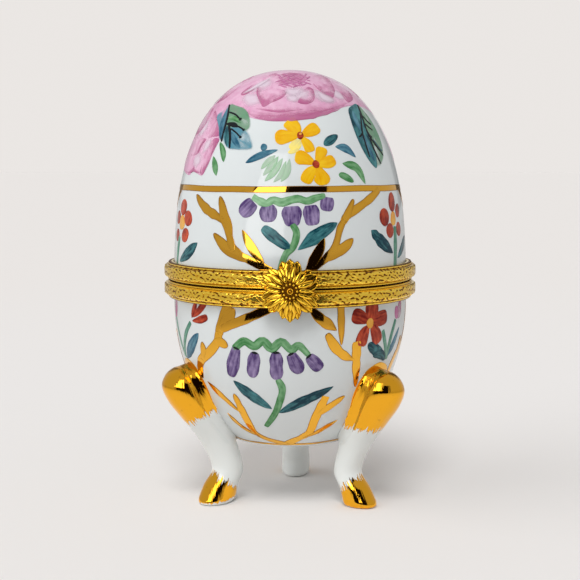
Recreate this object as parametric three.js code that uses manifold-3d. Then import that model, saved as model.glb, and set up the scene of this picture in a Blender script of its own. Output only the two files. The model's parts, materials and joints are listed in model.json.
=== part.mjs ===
// Egg-shaped porcelain trinket box on three hoofed legs, with hinged brass mounts and a flower clasp.
// Millimetres, +Z up. The origin is on the ground under the egg's axis, and the clasp faces -Y.
import * as THREE from 'three';
import { mergeVertices } from 'three/addons/utils/BufferGeometryUtils.js';
import Module from 'manifold-3d';

const wasm = await Module();
wasm.setup();

// Egg: a dome above the equator and half an ellipsoid below it, cut flat at the bottom
const TOTAL_HEIGHT = 100;
const EGG_RADIUS = 27.2;
const EQUATOR_HEIGHT = 46.7;
const EGG_DROP = 37.2;
const DOME_TAPER_POWER = 3;
const DOME_ROUND_POWER = 2.2;
const BOTTOM_HEIGHT = 14.35;
const WALL = 2.6;
const FLOOR_TOP = BOTTOM_HEIGHT + 2.85;

// Split between base and lid, and the brass mounts on both sides of it
const SPLIT_HEIGHT = 51.9;
const SPLIT_GAP = 0.3;
const MOUNT_DEPTH = 4.1;
const COLLAR_FIT = 0.15;
const COLLAR_SKIN = 0.5;
const COLLAR_LINING_DEPTH = 3.2;
const BAND_SWELL = 1.5;
const BAND_EDGE_SHARE = 0.45;
const SOLDER_GAP = 0.1;

// Legs: stations from sole to knee top, each with its reach from the axis and its half sizes
const LEG_STATIONS = [
  { reach: 18.7, height: 0, depth: 4.6, width: 4.2 },
  { reach: 17.7, height: 4, depth: 4.1, width: 3.8 },
  { reach: 16.1, height: 8, depth: 3.8, width: 3.4 },
  { reach: 18.4, height: 14, depth: 4.4, width: 4.1 },
  { reach: 23.1, height: 22.2, depth: 5.0, width: 5.0 },
  { reach: 25.9, height: 29.4, depth: 5.2, width: 5.2 },
  { reach: 26.2, height: 32.6, depth: 3.9, width: 3.9 },
  { reach: 26.0, height: 34.2, depth: 0.8, width: 0.9 },
];
const LEG_NAMES = ['leg_front_right', 'leg_rear', 'leg_front_left'];
const FIRST_LEG_AZIMUTH = 55.5;
const LEG_LEAN = -3;
const HOOF_FLARE = 0.22;
const HOOF_FLARE_HEIGHT = 6;
const LEG_GAP = 0.3;

// Hinge behind the mounts
const HINGE_REACH = 30.8;
const KNUCKLE_RADIUS = 1.35;
const KNUCKLE_BORE = 0.6;
const KNUCKLE_LENGTH = 2.2;
const KNUCKLE_GAP = 0.15;
const KNUCKLE_NAMES = [
  'base_knuckle_left', 'lid_knuckle_left', 'base_knuckle_centre', 'lid_knuckle_right', 'base_knuckle_right',
];
const PIN_RADIUS = 0.52;
const PIN_OVERHANG = 0.2;
const LEAF_THICKNESS = 0.8;
const LEAF_HALF_ANGLE = 11;

// Clasp in front of the mounts, as far out as the hinge barrel is at the back
const CLASP_FRONT = HINGE_REACH + KNUCKLE_RADIUS;
const JOIN_GAP = 0.3;
const TONGUE_THICKNESS = 0.4;
const TONGUE_WIDTH = 5;
const TONGUE_HEIGHT = 7.4;
const ROSETTE_REACH = 6.15;
const ROSETTE_SIDE_REACH = 5.5;
const ROSETTE_VALLEY = 4.3;
const ROSETTE_INNER_REACH = 4.1;
const ROSETTE_INNER_VALLEY = 3.1;
const ROSETTE_HOLE = 1.9;
const ROSETTE_DEPTH_SHARE = 0.75;
const SEPAL_DEPTH_SHARE = 0.6;
const BOSS_RADIUS = 1.6;
const BOSS_DOME = 0.5;
const STUD_RADIUS = 0.4;
const STUD_LENGTH = 0.3;
const STUD_DROP = 0.75;

// Facets
const ROUND_SIDES = 48;
const SMALL_SIDES = 24;
const SHELL_STEPS = 13;
const LEG_SIDES = 28;
const LEG_RINGS = 18;
const BAND_STEPS = 6;
const DOME_STEPS = 3;
const ARC_STEPS = 8;
const MERGE_DISTANCE = 1e-4;

const BAND_RADIUS = EGG_RADIUS + COLLAR_FIT + COLLAR_SKIN + SOLDER_GAP + BAND_SWELL;

const porcelain = new THREE.MeshStandardMaterial({ color: 0xf1f0f2, roughness: 0.12, metalness: 0 });
const giltBrass = new THREE.MeshStandardMaterial({ color: 0xd0a02c, roughness: 0.28, metalness: 1 });

const radians = THREE.MathUtils.degToRad;

// Radius of the egg at a height, with its surface moved inwards by inset
function eggRadius(height, inset = 0) {
  const radius = EGG_RADIUS - inset;
  if (height > EQUATOR_HEIGHT) {
    const rise = (height - EQUATOR_HEIGHT) / (TOTAL_HEIGHT - EQUATOR_HEIGHT - inset);
    return radius * Math.max(0, 1 - rise ** DOME_TAPER_POWER) ** (1 / DOME_ROUND_POWER);
  }
  const drop = (EQUATOR_HEIGHT - height) / (EGG_DROP - inset);
  return radius * Math.sqrt(Math.max(0, 1 - drop ** 2));
}

// Egg outline between two heights, with its steps closing up towards the second height
function eggOutline(from, to, inset = 0) {
  const points = [];
  for (let step = 0; step <= SHELL_STEPS; step += 1) {
    const height = from + (to - from) * Math.sin((step / SHELL_STEPS) * (Math.PI / 2));
    points.push(new THREE.Vector2(eggRadius(height, inset), height));
  }
  return points;
}

// Solid turned round +Z from an outline that goes up on its outer side
function turned(outline, sides) {
  return new THREE.LatheGeometry(outline, sides).rotateX(Math.PI / 2);
}

// Ring turned round +Z from a closed outline given as [radius, height] pairs
function ring(pairs) {
  const outline = [...pairs, pairs[0]].map(([radius, height]) => new THREE.Vector2(radius, height));
  return turned(outline, ROUND_SIDES);
}

// Flat shape standing upright, its back at the given distance in front of the axis
function frontPlate(shape, back, thickness) {
  const settings = { depth: thickness, bevelEnabled: false, curveSegments: ARC_STEPS };
  const plate = new THREE.ExtrudeGeometry(shape, settings);
  return plate.rotateX(Math.PI / 2).translate(0, -back, SPLIT_HEIGHT);
}

// Closed geometry as a solid for cutting and joining
function toSolid(geometry) {
  const bare = geometry.clone();
  bare.deleteAttribute('normal');
  bare.deleteAttribute('uv');
  const merged = mergeVertices(bare, MERGE_DISTANCE);
  const corners = [];
  for (let i = 0; i < merged.index.count; i += 3) {
    const [a, b, c] = merged.index.array.subarray(i, i + 3);
    if (a !== b && b !== c && c !== a) {
      corners.push(a, b, c);
    }
  }
  return new wasm.Manifold(new wasm.Mesh({
    numProp: 3,
    vertProperties: new Float32Array(merged.attributes.position.array),
    triVerts: new Uint32Array(corners),
  }));
}

// Solid back as a geometry
function toGeometry(solid) {
  const mesh = solid.getMesh();
  const geometry = new THREE.BufferGeometry();
  geometry.setAttribute('position', new THREE.BufferAttribute(mesh.vertProperties, mesh.numProp));
  geometry.setIndex(new THREE.BufferAttribute(mesh.triVerts, 1));
  geometry.computeVertexNormals();
  return geometry;
}

const bodies = { base: new THREE.Group(), lid: new THREE.Group() };

// Adds a named piece to the base or the lid
function addPiece(body, name, geometry, material) {
  const mesh = new THREE.Mesh(geometry, material);
  mesh.name = name;
  bodies[body].add(mesh);
  return mesh;
}

// Porcelain cup and dome, each open at the split
function addShells() {
  const rimInset = SPLIT_GAP / 2 + COLLAR_SKIN + COLLAR_FIT;
  const cupRim = SPLIT_HEIGHT - rimInset;
  const domeRim = SPLIT_HEIGHT + rimInset;
  const cup = [
    new THREE.Vector2(0, BOTTOM_HEIGHT),
    ...eggOutline(cupRim, BOTTOM_HEIGHT).reverse(),
    ...eggOutline(cupRim, FLOOR_TOP, WALL),
    new THREE.Vector2(0, FLOOR_TOP),
  ];
  const dome = [
    ...eggOutline(domeRim, TOTAL_HEIGHT - WALL, WALL).reverse(),
    ...eggOutline(domeRim, TOTAL_HEIGHT),
  ];
  addPiece('base', 'base_shell', turned(cup, ROUND_SIDES), porcelain);
  addPiece('lid', 'lid_shell', turned(dome, ROUND_SIDES), porcelain);
}

// Brass channel round a rim; side is -1 for the base below the split and 1 for the lid above it
function collarRing(side) {
  const at = (distance) => SPLIT_HEIGHT + side * distance;
  const face = SPLIT_GAP / 2;
  const web = face + COLLAR_SKIN;
  const skirtIn = EGG_RADIUS + COLLAR_FIT;
  const skirtOut = skirtIn + COLLAR_SKIN;
  const liningOut = EGG_RADIUS - WALL - COLLAR_FIT;
  const liningIn = liningOut - COLLAR_SKIN;
  const pairs = [
    [skirtOut, at(face)], [liningIn, at(face)], [liningIn, at(COLLAR_LINING_DEPTH)],
    [liningOut, at(COLLAR_LINING_DEPTH)], [liningOut, at(web)], [skirtIn, at(web)],
    [skirtIn, at(MOUNT_DEPTH)], [skirtOut, at(MOUNT_DEPTH)],
  ];
  return ring(side < 0 ? pairs : pairs.reverse());
}

// Half-round brass strip soldered round a collar
function bandRing(side) {
  const inner = BAND_RADIUS - BAND_SWELL;
  const start = SPLIT_GAP;
  const pairs = [[inner, SPLIT_HEIGHT + side * start]];
  for (let step = 0; step <= BAND_STEPS; step += 1) {
    const share = step / BAND_STEPS;
    const swell = BAND_SWELL * (BAND_EDGE_SHARE + (1 - BAND_EDGE_SHARE) * Math.sin(Math.PI * share));
    pairs.push([inner + swell, SPLIT_HEIGHT + side * (start + share * (MOUNT_DEPTH - start))]);
  }
  pairs.push([inner, SPLIT_HEIGHT + side * MOUNT_DEPTH]);
  return ring(side < 0 ? pairs.reverse() : pairs);
}

// Curved strap behind a band, in line with the hinge barrel
function leafStrap(side) {
  const inner = BAND_RADIUS + JOIN_GAP;
  const outer = inner + LEAF_THICKNESS;
  const start = Math.PI / 2 - radians(LEAF_HALF_ANGLE);
  const end = Math.PI / 2 + radians(LEAF_HALF_ANGLE);
  const shape = new THREE.Shape();
  shape.absarc(0, 0, outer, start, end, false);
  shape.absarc(0, 0, inner, end, start, true);
  const near = KNUCKLE_RADIUS + JOIN_GAP;
  const strap = new THREE.ExtrudeGeometry(shape, {
    depth: MOUNT_DEPTH - near, bevelEnabled: false, curveSegments: ARC_STEPS,
  });
  return strap.translate(0, 0, side < 0 ? SPLIT_HEIGHT - MOUNT_DEPTH : SPLIT_HEIGHT + near);
}

// Collar, band and hinge strap on each side of the split
function addMounts() {
  const sides = { base: -1, lid: 1 };
  for (const [body, side] of Object.entries(sides)) {
    addPiece(body, `${body}_collar`, collarRing(side), giltBrass);
    addPiece(body, `${body}_band`, bandRing(side), giltBrass);
    addPiece(body, `${body}_hinge_leaf`, leafStrap(side), giltBrass);
  }
}

// Five knuckles in a row along X, with one pin through them
function addHinge() {
  const half = KNUCKLE_LENGTH / 2;
  const tube = [[KNUCKLE_BORE, -half], [KNUCKLE_RADIUS, -half], [KNUCKLE_RADIUS, half], [KNUCKLE_BORE, half]];
  const outline = [...tube, tube[0]].map(([radius, along]) => new THREE.Vector2(radius, along));
  const pitch = KNUCKLE_LENGTH + KNUCKLE_GAP;
  const middle = (KNUCKLE_NAMES.length - 1) / 2;
  KNUCKLE_NAMES.forEach((name, index) => {
    const body = name.startsWith('lid') ? 'lid' : 'base';
    const knuckle = addPiece(body, name, new THREE.LatheGeometry(outline, SMALL_SIDES), giltBrass);
    knuckle.rotation.z = -Math.PI / 2;
    knuckle.position.set((index - middle) * pitch, HINGE_REACH, SPLIT_HEIGHT);
  });
  const pinLength = KNUCKLE_NAMES.length * pitch - KNUCKLE_GAP + 2 * PIN_OVERHANG;
  const wire = new THREE.CylinderGeometry(PIN_RADIUS, PIN_RADIUS, pinLength, SMALL_SIDES);
  const pin = addPiece('base', 'hinge_pin', wire, giltBrass);
  pin.rotation.z = -Math.PI / 2;
  pin.position.set(0, HINGE_REACH, SPLIT_HEIGHT);
}

// Flower outline whose petals reach the given radii in turn, with a round hole in the middle
function flowerShape(reaches, rounds, valley) {
  const shape = new THREE.Shape();
  const petals = reaches.length * rounds;
  for (let petal = 0; petal < petals; petal += 1) {
    const tip = Math.PI / 2 + (2 * Math.PI * petal) / petals;
    const notch = tip + Math.PI / petals;
    const reach = reaches[petal % reaches.length];
    const draw = petal === 0 ? 'moveTo' : 'lineTo';
    shape[draw](reach * Math.cos(tip), reach * Math.sin(tip));
    shape.lineTo(valley * Math.cos(notch), valley * Math.sin(notch));
  }
  const hole = new THREE.Path();
  hole.absarc(0, 0, ROSETTE_HOLE, 0, 2 * Math.PI, true);
  shape.holes.push(hole);
  return shape;
}

// Upright tongue with round ends
function tongueShape() {
  const radius = TONGUE_WIDTH / 2;
  const straight = TONGUE_HEIGHT / 2 - radius;
  const shape = new THREE.Shape();
  shape.absarc(0, straight, radius, 0, Math.PI, false);
  shape.absarc(0, -straight, radius, Math.PI, 2 * Math.PI, false);
  return shape;
}

// Tongue on the lid, cast flower on the tongue and rivet head through the flower
function addClasp() {
  const tongueBack = BAND_RADIUS + JOIN_GAP;
  const flowerBack = tongueBack + TONGUE_THICKNESS + JOIN_GAP;
  const flowerDepth = ROSETTE_DEPTH_SHARE * (CLASP_FRONT - flowerBack);
  addPiece('lid', 'clasp_plate', frontPlate(tongueShape(), tongueBack, TONGUE_THICKNESS), giltBrass);

  const sepals = flowerShape([ROSETTE_REACH, ROSETTE_SIDE_REACH, ROSETTE_SIDE_REACH], 6, ROSETTE_VALLEY);
  const petals = flowerShape([ROSETTE_INNER_REACH], 12, ROSETTE_INNER_VALLEY);
  const outer = toSolid(frontPlate(sepals, flowerBack, SEPAL_DEPTH_SHARE * flowerDepth));
  const inner = toSolid(frontPlate(petals, flowerBack, flowerDepth));
  addPiece('lid', 'clasp_rosette', toGeometry(outer.add(inner)), giltBrass);

  const shank = CLASP_FRONT - flowerBack - BOSS_DOME;
  const outline = [new THREE.Vector2(0, 0), new THREE.Vector2(BOSS_RADIUS, 0)];
  for (let step = 0; step < DOME_STEPS; step += 1) {
    const rise = ((step / DOME_STEPS) * Math.PI) / 2;
    outline.push(new THREE.Vector2(BOSS_RADIUS * Math.cos(rise), shank + BOSS_DOME * Math.sin(rise)));
  }
  outline.push(new THREE.Vector2(0, shank + BOSS_DOME));
  const boss = addPiece('lid', 'clasp_boss', new THREE.LatheGeometry(outline, SMALL_SIDES), giltBrass);
  boss.rotation.x = Math.PI;
  boss.position.set(0, -flowerBack, SPLIT_HEIGHT);
}

// Small bump on the base band behind the clasp
function addCatchStud() {
  const front = BAND_RADIUS + JOIN_GAP / 2;
  const bump = new THREE.CylinderGeometry(STUD_RADIUS, STUD_RADIUS, STUD_LENGTH, SMALL_SIDES);
  const stud = addPiece('base', 'catch_stud', bump, giltBrass);
  stud.position.set(0, -front + STUD_LENGTH / 2, SPLIT_HEIGHT - STUD_DROP);
}

// Leg as a column whose rings follow the stations, standing at an azimuth measured from the front
function legColumn(azimuth) {
  const path = new THREE.CatmullRomCurve3(LEG_STATIONS.map((s) => new THREE.Vector3(s.reach, s.height, 0)));
  const size = new THREE.CatmullRomCurve3(LEG_STATIONS.map((s) => new THREE.Vector3(s.depth, s.width, 0)));
  const column = new THREE.CylinderGeometry(1, 1, 1, LEG_SIDES, LEG_RINGS);
  const corners = column.attributes.position;
  const kneeHeight = LEG_STATIONS.at(-1).height;
  for (let i = 0; i < corners.count; i += 1) {
    const share = corners.getY(i) + 0.5;
    const middle = path.getPoint(share);
    const half = size.getPoint(share);
    const flare = HOOF_FLARE * Math.max(0, 1 - middle.y / HOOF_FLARE_HEIGHT);
    const outward = middle.x + half.x * corners.getX(i);
    const across = -half.y * corners.getZ(i) * (1 + flare * corners.getX(i));
    const turn = radians(azimuth + (LEG_LEAN * middle.y) / kneeHeight);
    corners.setXYZ(
      i,
      outward * Math.sin(turn) + across * Math.cos(turn),
      -outward * Math.cos(turn) + across * Math.sin(turn),
      middle.y,
    );
  }
  return column;
}

// Three legs, each cut back to the outside of the egg
function addLegs() {
  const outline = [
    new THREE.Vector2(0, BOTTOM_HEIGHT - LEG_GAP),
    ...eggOutline(TOTAL_HEIGHT - LEG_GAP, BOTTOM_HEIGHT - LEG_GAP, -LEG_GAP).reverse(),
    new THREE.Vector2(0, TOTAL_HEIGHT - LEG_GAP),
  ];
  const egg = toSolid(turned(outline, ROUND_SIDES));
  LEG_NAMES.forEach((name, index) => {
    const azimuth = FIRST_LEG_AZIMUTH + (360 / LEG_NAMES.length) * index;
    const leg = toSolid(legColumn(azimuth)).subtract(egg);
    addPiece('base', name, toGeometry(leg), porcelain);
  });
}

addShells();
addLegs();
addMounts();
addHinge();
addClasp();
addCatchStud();

const eggBox = new THREE.Group();
eggBox.add(bodies.base, bodies.lid);

export default eggBox;
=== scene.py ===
"""Looks of the egg trinket box: glazed porcelain, overglaze painting, gilding and gilt brass mounts.

Sizes are in millimetres until a mesh is made, azimuths in degrees from the clasp towards the right.
"""
import json
import logging
import math
from dataclasses import dataclass, field, replace
from enum import Enum
from functools import partial
from typing import Any, Callable, Iterable

import bmesh
import bpy
import numpy as np
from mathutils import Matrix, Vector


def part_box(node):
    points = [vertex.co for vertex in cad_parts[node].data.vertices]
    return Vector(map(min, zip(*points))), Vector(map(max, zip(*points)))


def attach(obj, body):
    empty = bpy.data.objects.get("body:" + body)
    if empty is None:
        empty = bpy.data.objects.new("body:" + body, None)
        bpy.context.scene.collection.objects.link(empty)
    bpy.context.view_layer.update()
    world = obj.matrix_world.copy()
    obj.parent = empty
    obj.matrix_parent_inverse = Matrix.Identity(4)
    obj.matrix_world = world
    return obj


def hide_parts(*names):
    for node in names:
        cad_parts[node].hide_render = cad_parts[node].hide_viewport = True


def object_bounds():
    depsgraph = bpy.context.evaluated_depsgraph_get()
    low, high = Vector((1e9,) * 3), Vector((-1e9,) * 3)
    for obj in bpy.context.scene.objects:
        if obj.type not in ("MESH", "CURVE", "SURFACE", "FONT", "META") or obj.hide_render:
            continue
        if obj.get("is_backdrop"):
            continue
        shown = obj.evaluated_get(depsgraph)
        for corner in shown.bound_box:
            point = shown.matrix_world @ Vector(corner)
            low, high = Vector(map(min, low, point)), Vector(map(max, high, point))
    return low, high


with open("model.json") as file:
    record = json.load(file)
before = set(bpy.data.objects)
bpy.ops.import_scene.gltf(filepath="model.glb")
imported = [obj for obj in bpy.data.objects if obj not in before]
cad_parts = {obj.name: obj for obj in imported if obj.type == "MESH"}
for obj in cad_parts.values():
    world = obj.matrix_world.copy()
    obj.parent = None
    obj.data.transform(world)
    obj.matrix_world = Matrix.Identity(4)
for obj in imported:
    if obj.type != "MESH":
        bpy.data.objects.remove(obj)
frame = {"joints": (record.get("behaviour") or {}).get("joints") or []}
CAD_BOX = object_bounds()

MM = 0.001
PORCELAIN_SLOT = "porcelain"
BRASS_SLOT = "gilt_brass"
BASE = "base"
LID = "lid"
GLAZE_IOR = 1.5

Array = np.ndarray
Pair = tuple[float, float]
Spot = Pair
Colour = tuple[float, float, float, float]
Material = bpy.types.Material
Socket = bpy.types.NodeSocket
log = logging.getLogger("egg_box")


# Small helpers for numbers, meshes and nodes


def linear(red: float, green: float, blue: float) -> Colour:
    """Turns a screen colour into the linear colour that a shader takes.

    Args:
        red: Red, from 0 to 255.
        green: Green, from 0 to 255.
        blue: Blue, from 0 to 255.

    Returns:
        Linear red, green, blue and an alpha of 1.
    """
    shares = [value / 255.0 for value in (red, green, blue)]
    tones = [s / 12.92 if s <= 0.04045 else ((s + 0.055) / 1.055) ** 2.4 for s in shares]
    return (tones[0], tones[1], tones[2], 1.0)


def unit(vectors: Array) -> Array:
    """Vectors scaled to length 1."""
    return vectors / np.maximum(np.linalg.norm(vectors, axis=-1, keepdims=True), 1e-9)


def smooth_step(values: Array, low: float, high: float) -> Array:
    """Rises smoothly from 0 at low to 1 at high."""
    share = np.clip((values - low) / (high - low), 0.0, 1.0)
    return share * share * (3.0 - 2.0 * share)


def on_circle(radius: Array | float, angle: Array, height: Array | float) -> Array:
    """Points at a radius, at an angle from the front towards the right, and at a height."""
    parts = np.broadcast_arrays(radius * np.sin(angle), -radius * np.cos(angle), height)
    return np.stack(parts, axis=-1)


def box_of(node: str) -> list[Any]:
    """Lowest and highest corner of a solid, in millimetres."""
    return [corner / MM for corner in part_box(node)]


def through(points: Array, shares: Array, closed: bool = False) -> Array:
    """Samples a smooth curve that passes through every given point.

    Args:
        points: Points of any dimension, one a row.
        shares: Places along the curve, from 0 at the first point to 1 at the last.
        closed: Whether the curve returns to its first point.

    Returns:
        One point for each share.
    """
    if closed:
        padded = np.vstack([points[-1:], points, points[:2]])
        spans = len(points)
    else:
        padded = np.vstack([2 * points[0] - points[1], points, 2 * points[-1] - points[-2]])
        spans = len(points) - 1
    along = np.asarray(shares) * spans
    index = np.clip(np.floor(along).astype(int), 0, spans - 1)
    step = (along - index)[:, None]
    a, b, c, d = (padded[index + offset] for offset in range(4))
    bend = 2 * a - 5 * b + 4 * c - d
    twist = 3 * b - 3 * c + d - a
    return 0.5 * (2 * b + (c - a) * step + bend * step**2 + twist * step**3)


def grid_faces(rows: int, columns: int, close_columns: bool = False) -> Array:
    """Quads of a grid of points stored row by row.

    Args:
        rows: Number of rows of points.
        columns: Number of points in a row.
        close_columns: Whether each row is a loop.

    Returns:
        Four point numbers for each quad.
    """
    row = np.arange(rows - 1)[:, None] * columns
    column = np.arange(columns if close_columns else columns - 1)[None, :]
    after = (column + 1) % columns
    corners = [row + column, row + after, row + columns + after, row + columns + column]
    return np.stack(corners, axis=-1).reshape(-1, 4)


class MeshDraft:
    """Points, faces and point values of one piece, gathered before its mesh is made."""

    def __init__(self) -> None:
        """Starts with nothing in it."""
        self.points: list[Array] = []
        self.faces: list[Array] = []
        self.values: dict[str, list[Array]] = {}
        self.count = 0

    def add(self, points: Array, faces: Iterable[Array], **values: Array) -> None:
        """Adds a block of points with its faces.

        Args:
            points: Points in millimetres, one a row.
            faces: Arrays of point numbers, each array with one kind of polygon.
            **values: Named numbers or vectors, one for each point.
        """
        flat = np.asarray(points, float).reshape(-1, 3)
        self.points.append(flat)
        for block in faces:
            self.faces.append(np.asarray(block, int) + self.count)
        for name, value in values.items():
            self.values.setdefault(name, []).append(np.asarray(value, float))
        self.count += len(flat)

    def add_mesh(self, mesh: bpy.types.Mesh, place: Callable[[Array], Array], *names: str) -> None:
        """Adds a finished mesh.

        Args:
            mesh: Mesh in metres.
            place: Moves its points, in millimetres, to where they belong.
            *names: Point values that are carried over.
        """
        points = np.zeros(len(mesh.vertices) * 3)
        mesh.vertices.foreach_get("co", points)
        faces = [np.array([list(polygon.vertices)]) for polygon in mesh.polygons]
        values = {}
        for name in names:
            value = np.zeros(len(mesh.vertices))
            mesh.attributes[name].data.foreach_get("value", value)
            values[name] = value
        self.add(place(points.reshape(-1, 3) / MM), faces, **values)

    def tube(self, rows: Array, **values: Array) -> None:
        """Adds a closed body from loops of points, with a flat cap at each end.

        Args:
            rows: Loops of points, shaped rows by columns by 3.
            **values: Named numbers or vectors, shaped rows by columns.
        """
        count, columns = rows.shape[:2]
        start = np.arange(columns)[None, ::-1]
        end = np.arange(columns)[None, :] + (count - 1) * columns
        flat = {n: v.reshape(count * columns, *v.shape[2:]) for n, v in values.items()}
        self.add(rows, [grid_faces(count, columns, True), start, end], **flat)

    def build(self, name: str, material: Material, crease: float | None = None) -> bpy.types.Object:
        """Makes the mesh and its object.

        Args:
            name: Name of the piece.
            material: Material of the whole piece.
            crease: Angle in degrees above which an edge stays sharp, or None for smooth all over.

        Returns:
            The new object, at the origin and in the scene.
        """
        mesh = bpy.data.meshes.new(name)
        points = np.vstack(self.points)
        loops = np.concatenate([block.ravel() for block in self.faces])
        sizes = np.concatenate([np.full(len(block), block.shape[1]) for block in self.faces])
        starts = np.concatenate([[0], np.cumsum(sizes)[:-1]])
        mesh.vertices.add(len(points))
        mesh.vertices.foreach_set("co", (points * MM).ravel())
        mesh.loops.add(len(loops))
        mesh.loops.foreach_set("vertex_index", loops.astype(np.int32))
        mesh.polygons.add(len(sizes))
        mesh.polygons.foreach_set("loop_start", starts.astype(np.int32))
        mesh.update(calc_edges=True)
        mesh.validate()
        for label, blocks in self.values.items():
            value = np.concatenate(blocks)
            kind, key = ("FLOAT", "value") if value.ndim == 1 else ("FLOAT_VECTOR", "vector")
            layer = mesh.attributes.new(label, kind, "POINT")
            layer.data.foreach_set(key, value.ravel())
        face_outwards(mesh)
        mesh.polygons.foreach_set("use_smooth", np.ones(len(mesh.polygons), bool))
        if crease is not None:
            mesh.set_sharp_from_angle(angle=math.radians(crease))
        mesh.materials.append(material)
        return add_object(name, mesh)


def add_object(name: str, data: bpy.types.ID) -> bpy.types.Object:
    """Puts a new object with its data into the scene.

    Args:
        name: Name of the object.
        data: Its mesh, light or camera.

    Returns:
        The new object.
    """
    item = bpy.data.objects.new(name, data)
    bpy.context.scene.collection.objects.link(item)
    return item


def face_outwards(mesh: bpy.types.Mesh) -> None:
    """Turns the faces of every closed body in a mesh outwards.

    Args:
        mesh: Mesh that is changed.
    """
    sketch = bmesh.new()
    sketch.from_mesh(mesh)
    bmesh.ops.recalc_face_normals(sketch, faces=sketch.faces)
    sketch.to_mesh(mesh)
    sketch.free()


def turned(
    draft: MeshDraft,
    outline: Array,
    segments: int,
    place: Callable[[Array], Array] | None = None,
    relief: float | None = None,
) -> None:
    """Adds a body turned round the vertical axis.

    Args:
        draft: Draft that takes the body.
        outline: Radius and height pairs. Ends on the axis are closed there, other outlines close on
            themselves.
        segments: Number of points round the axis.
        place: Moves the finished points to where they belong.
        relief: Relief of every point, for a piece of brass.
    """
    angle = np.linspace(0, 2 * np.pi, segments, endpoint=False)
    on_axis = outline[0, 0] < 1e-6
    body = outline[1:-1] if on_axis else np.vstack([outline, outline[:1]])
    rings = on_circle(body[:, :1], angle[None, :], body[:, 1:2])
    if on_axis:
        rows = len(body)
        poles = np.array([[0, 0, outline[0, 1]], [0, 0, outline[-1, 1]]])
        around = np.arange(segments)
        after = (around + 1) % segments
        last = (rows - 1) * segments
        first_fan = np.stack([after, around, np.full(segments, rows * segments)], axis=-1)
        last_fan = np.stack([around + last, after + last, np.full(segments, rows * segments + 1)], axis=-1)
        points = np.vstack([rings.reshape(-1, 3), poles])
        faces = [grid_faces(rows, segments, True), first_fan, last_fan]
    else:
        points = rings[:-1].reshape(-1, 3)
        faces = [grid_faces(len(body), segments, True) % len(points)]
    values = {} if relief is None else {"relief": np.full(len(points), relief)}
    draft.add(place(points) if place else points, faces, **values)


def carry(piece: bpy.types.Object, body: str, slot: str, *nodes: str) -> None:
    """Hands a finished piece to the frame and reports it.

    Args:
        piece: The finished piece.
        body: Body that it moves with.
        slot: Material slot of the record that it belongs to; not used.
        *nodes: CAD nodes that it stands for.
    """
    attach(piece, body)
    if nodes:
        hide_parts(*nodes)
    log.info("%s rides on %s with %d faces", piece.name, body, len(piece.data.polygons))


class NodeSketch:
    """Adds nodes to a tree and joins them in the same call."""

    def __init__(self, tree: bpy.types.NodeTree) -> None:
        """Works on the given tree."""
        self.tree = tree

    def feed(self, socket: Socket, value: Any) -> None:
        """Joins a socket to an output, or sets its value.

        Args:
            socket: Input socket.
            value: Output that it is joined to, or a plain value.
        """
        if isinstance(value, Socket):
            self.tree.links.new(value, socket)
        else:
            socket.default_value = value

    def add(self, kind: str, inputs: dict[str | int, Any] | None = None, **settings: Any) -> bpy.types.Node:
        """Adds a node.

        Args:
            kind: Blender's name for the node.
            inputs: Values or outputs for its input sockets, by name or number.
            **settings: Other properties of the node.

        Returns:
            The new node.
        """
        node = self.tree.nodes.new(kind)
        for name, value in settings.items():
            setattr(node, name, value)
        for name, value in (inputs or {}).items():
            self.feed(node.inputs[name], value)
        return node

    def math(self, operation: str, *values: Any) -> Socket:
        """Result of a Math node on up to three values."""
        return self.add("ShaderNodeMath", dict(enumerate(values)), operation=operation).outputs[0]

    def blend(self, share: Any, low: Any, high: Any) -> Socket:
        """Colour mixed from low at share 0 to high at share 1.

        Args:
            share: Share of the high colour.
            low: Colour at share 0.
            high: Colour at share 1.

        Returns:
            The mixed colour.
        """
        node = self.add("ShaderNodeMix", data_type="RGBA")
        for socket, value in zip((node.inputs[0], node.inputs[6], node.inputs[7]), (share, low, high)):
            self.feed(socket, value)
        return node.outputs[2]

    def span(self, value: Any, low: float, high: float, to_low: float, to_high: float) -> Socket:
        """Value carried smoothly from one range to another."""
        inputs = {0: value, 1: low, 2: high, 3: to_low, 4: to_high}
        return self.add("ShaderNodeMapRange", inputs, interpolation_type="SMOOTHSTEP").outputs[0]

    def point_value(self, name: str, output: str = "Fac") -> Socket:
        """Named value that the piece's points carry."""
        return self.add("ShaderNodeAttribute", attribute_name=name).outputs[output]

    def millimetres(self) -> Socket:
        """Object coordinates in millimetres."""
        place = self.add("ShaderNodeTexCoord").outputs["Object"]
        return self.add("ShaderNodeVectorMath", {0: place, 3: 1 / MM}, operation="SCALE").outputs[0]

    def noise(self, vector: Any, scale: float, detail: float = 2.0) -> Socket:
        """Noise value at a vector."""
        inputs = {"Vector": vector, "Scale": scale, "Detail": detail}
        return self.add("ShaderNodeTexNoise", inputs).outputs["Fac"]


def shader_group(
    name: str, inputs: dict[str, Any], outputs: dict[str, str], fill: Callable[[NodeSketch, Any, Any], None]
) -> bpy.types.NodeTree:
    """Builds a shader node group.

    Args:
        name: Name of the group.
        inputs: Default of each input, a colour or a number, by name.
        outputs: Socket kind of each output, by name.
        fill: Adds the inner nodes, given the sketch, the input sockets and the output sockets.

    Returns:
        The group's tree.
    """
    tree = bpy.data.node_groups.new(name, "ShaderNodeTree")
    for label, default in inputs.items():
        kind = "NodeSocketColor" if isinstance(default, tuple) else "NodeSocketFloat"
        tree.interface.new_socket(label, in_out="INPUT", socket_type=kind).default_value = default
    for label, kind in outputs.items():
        tree.interface.new_socket(label, in_out="OUTPUT", socket_type=kind)
    sketch = NodeSketch(tree)
    source = sketch.add("NodeGroupInput")
    result = sketch.add("NodeGroupOutput")
    fill(sketch, source.outputs, result.inputs)
    return tree


# Finishes


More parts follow.
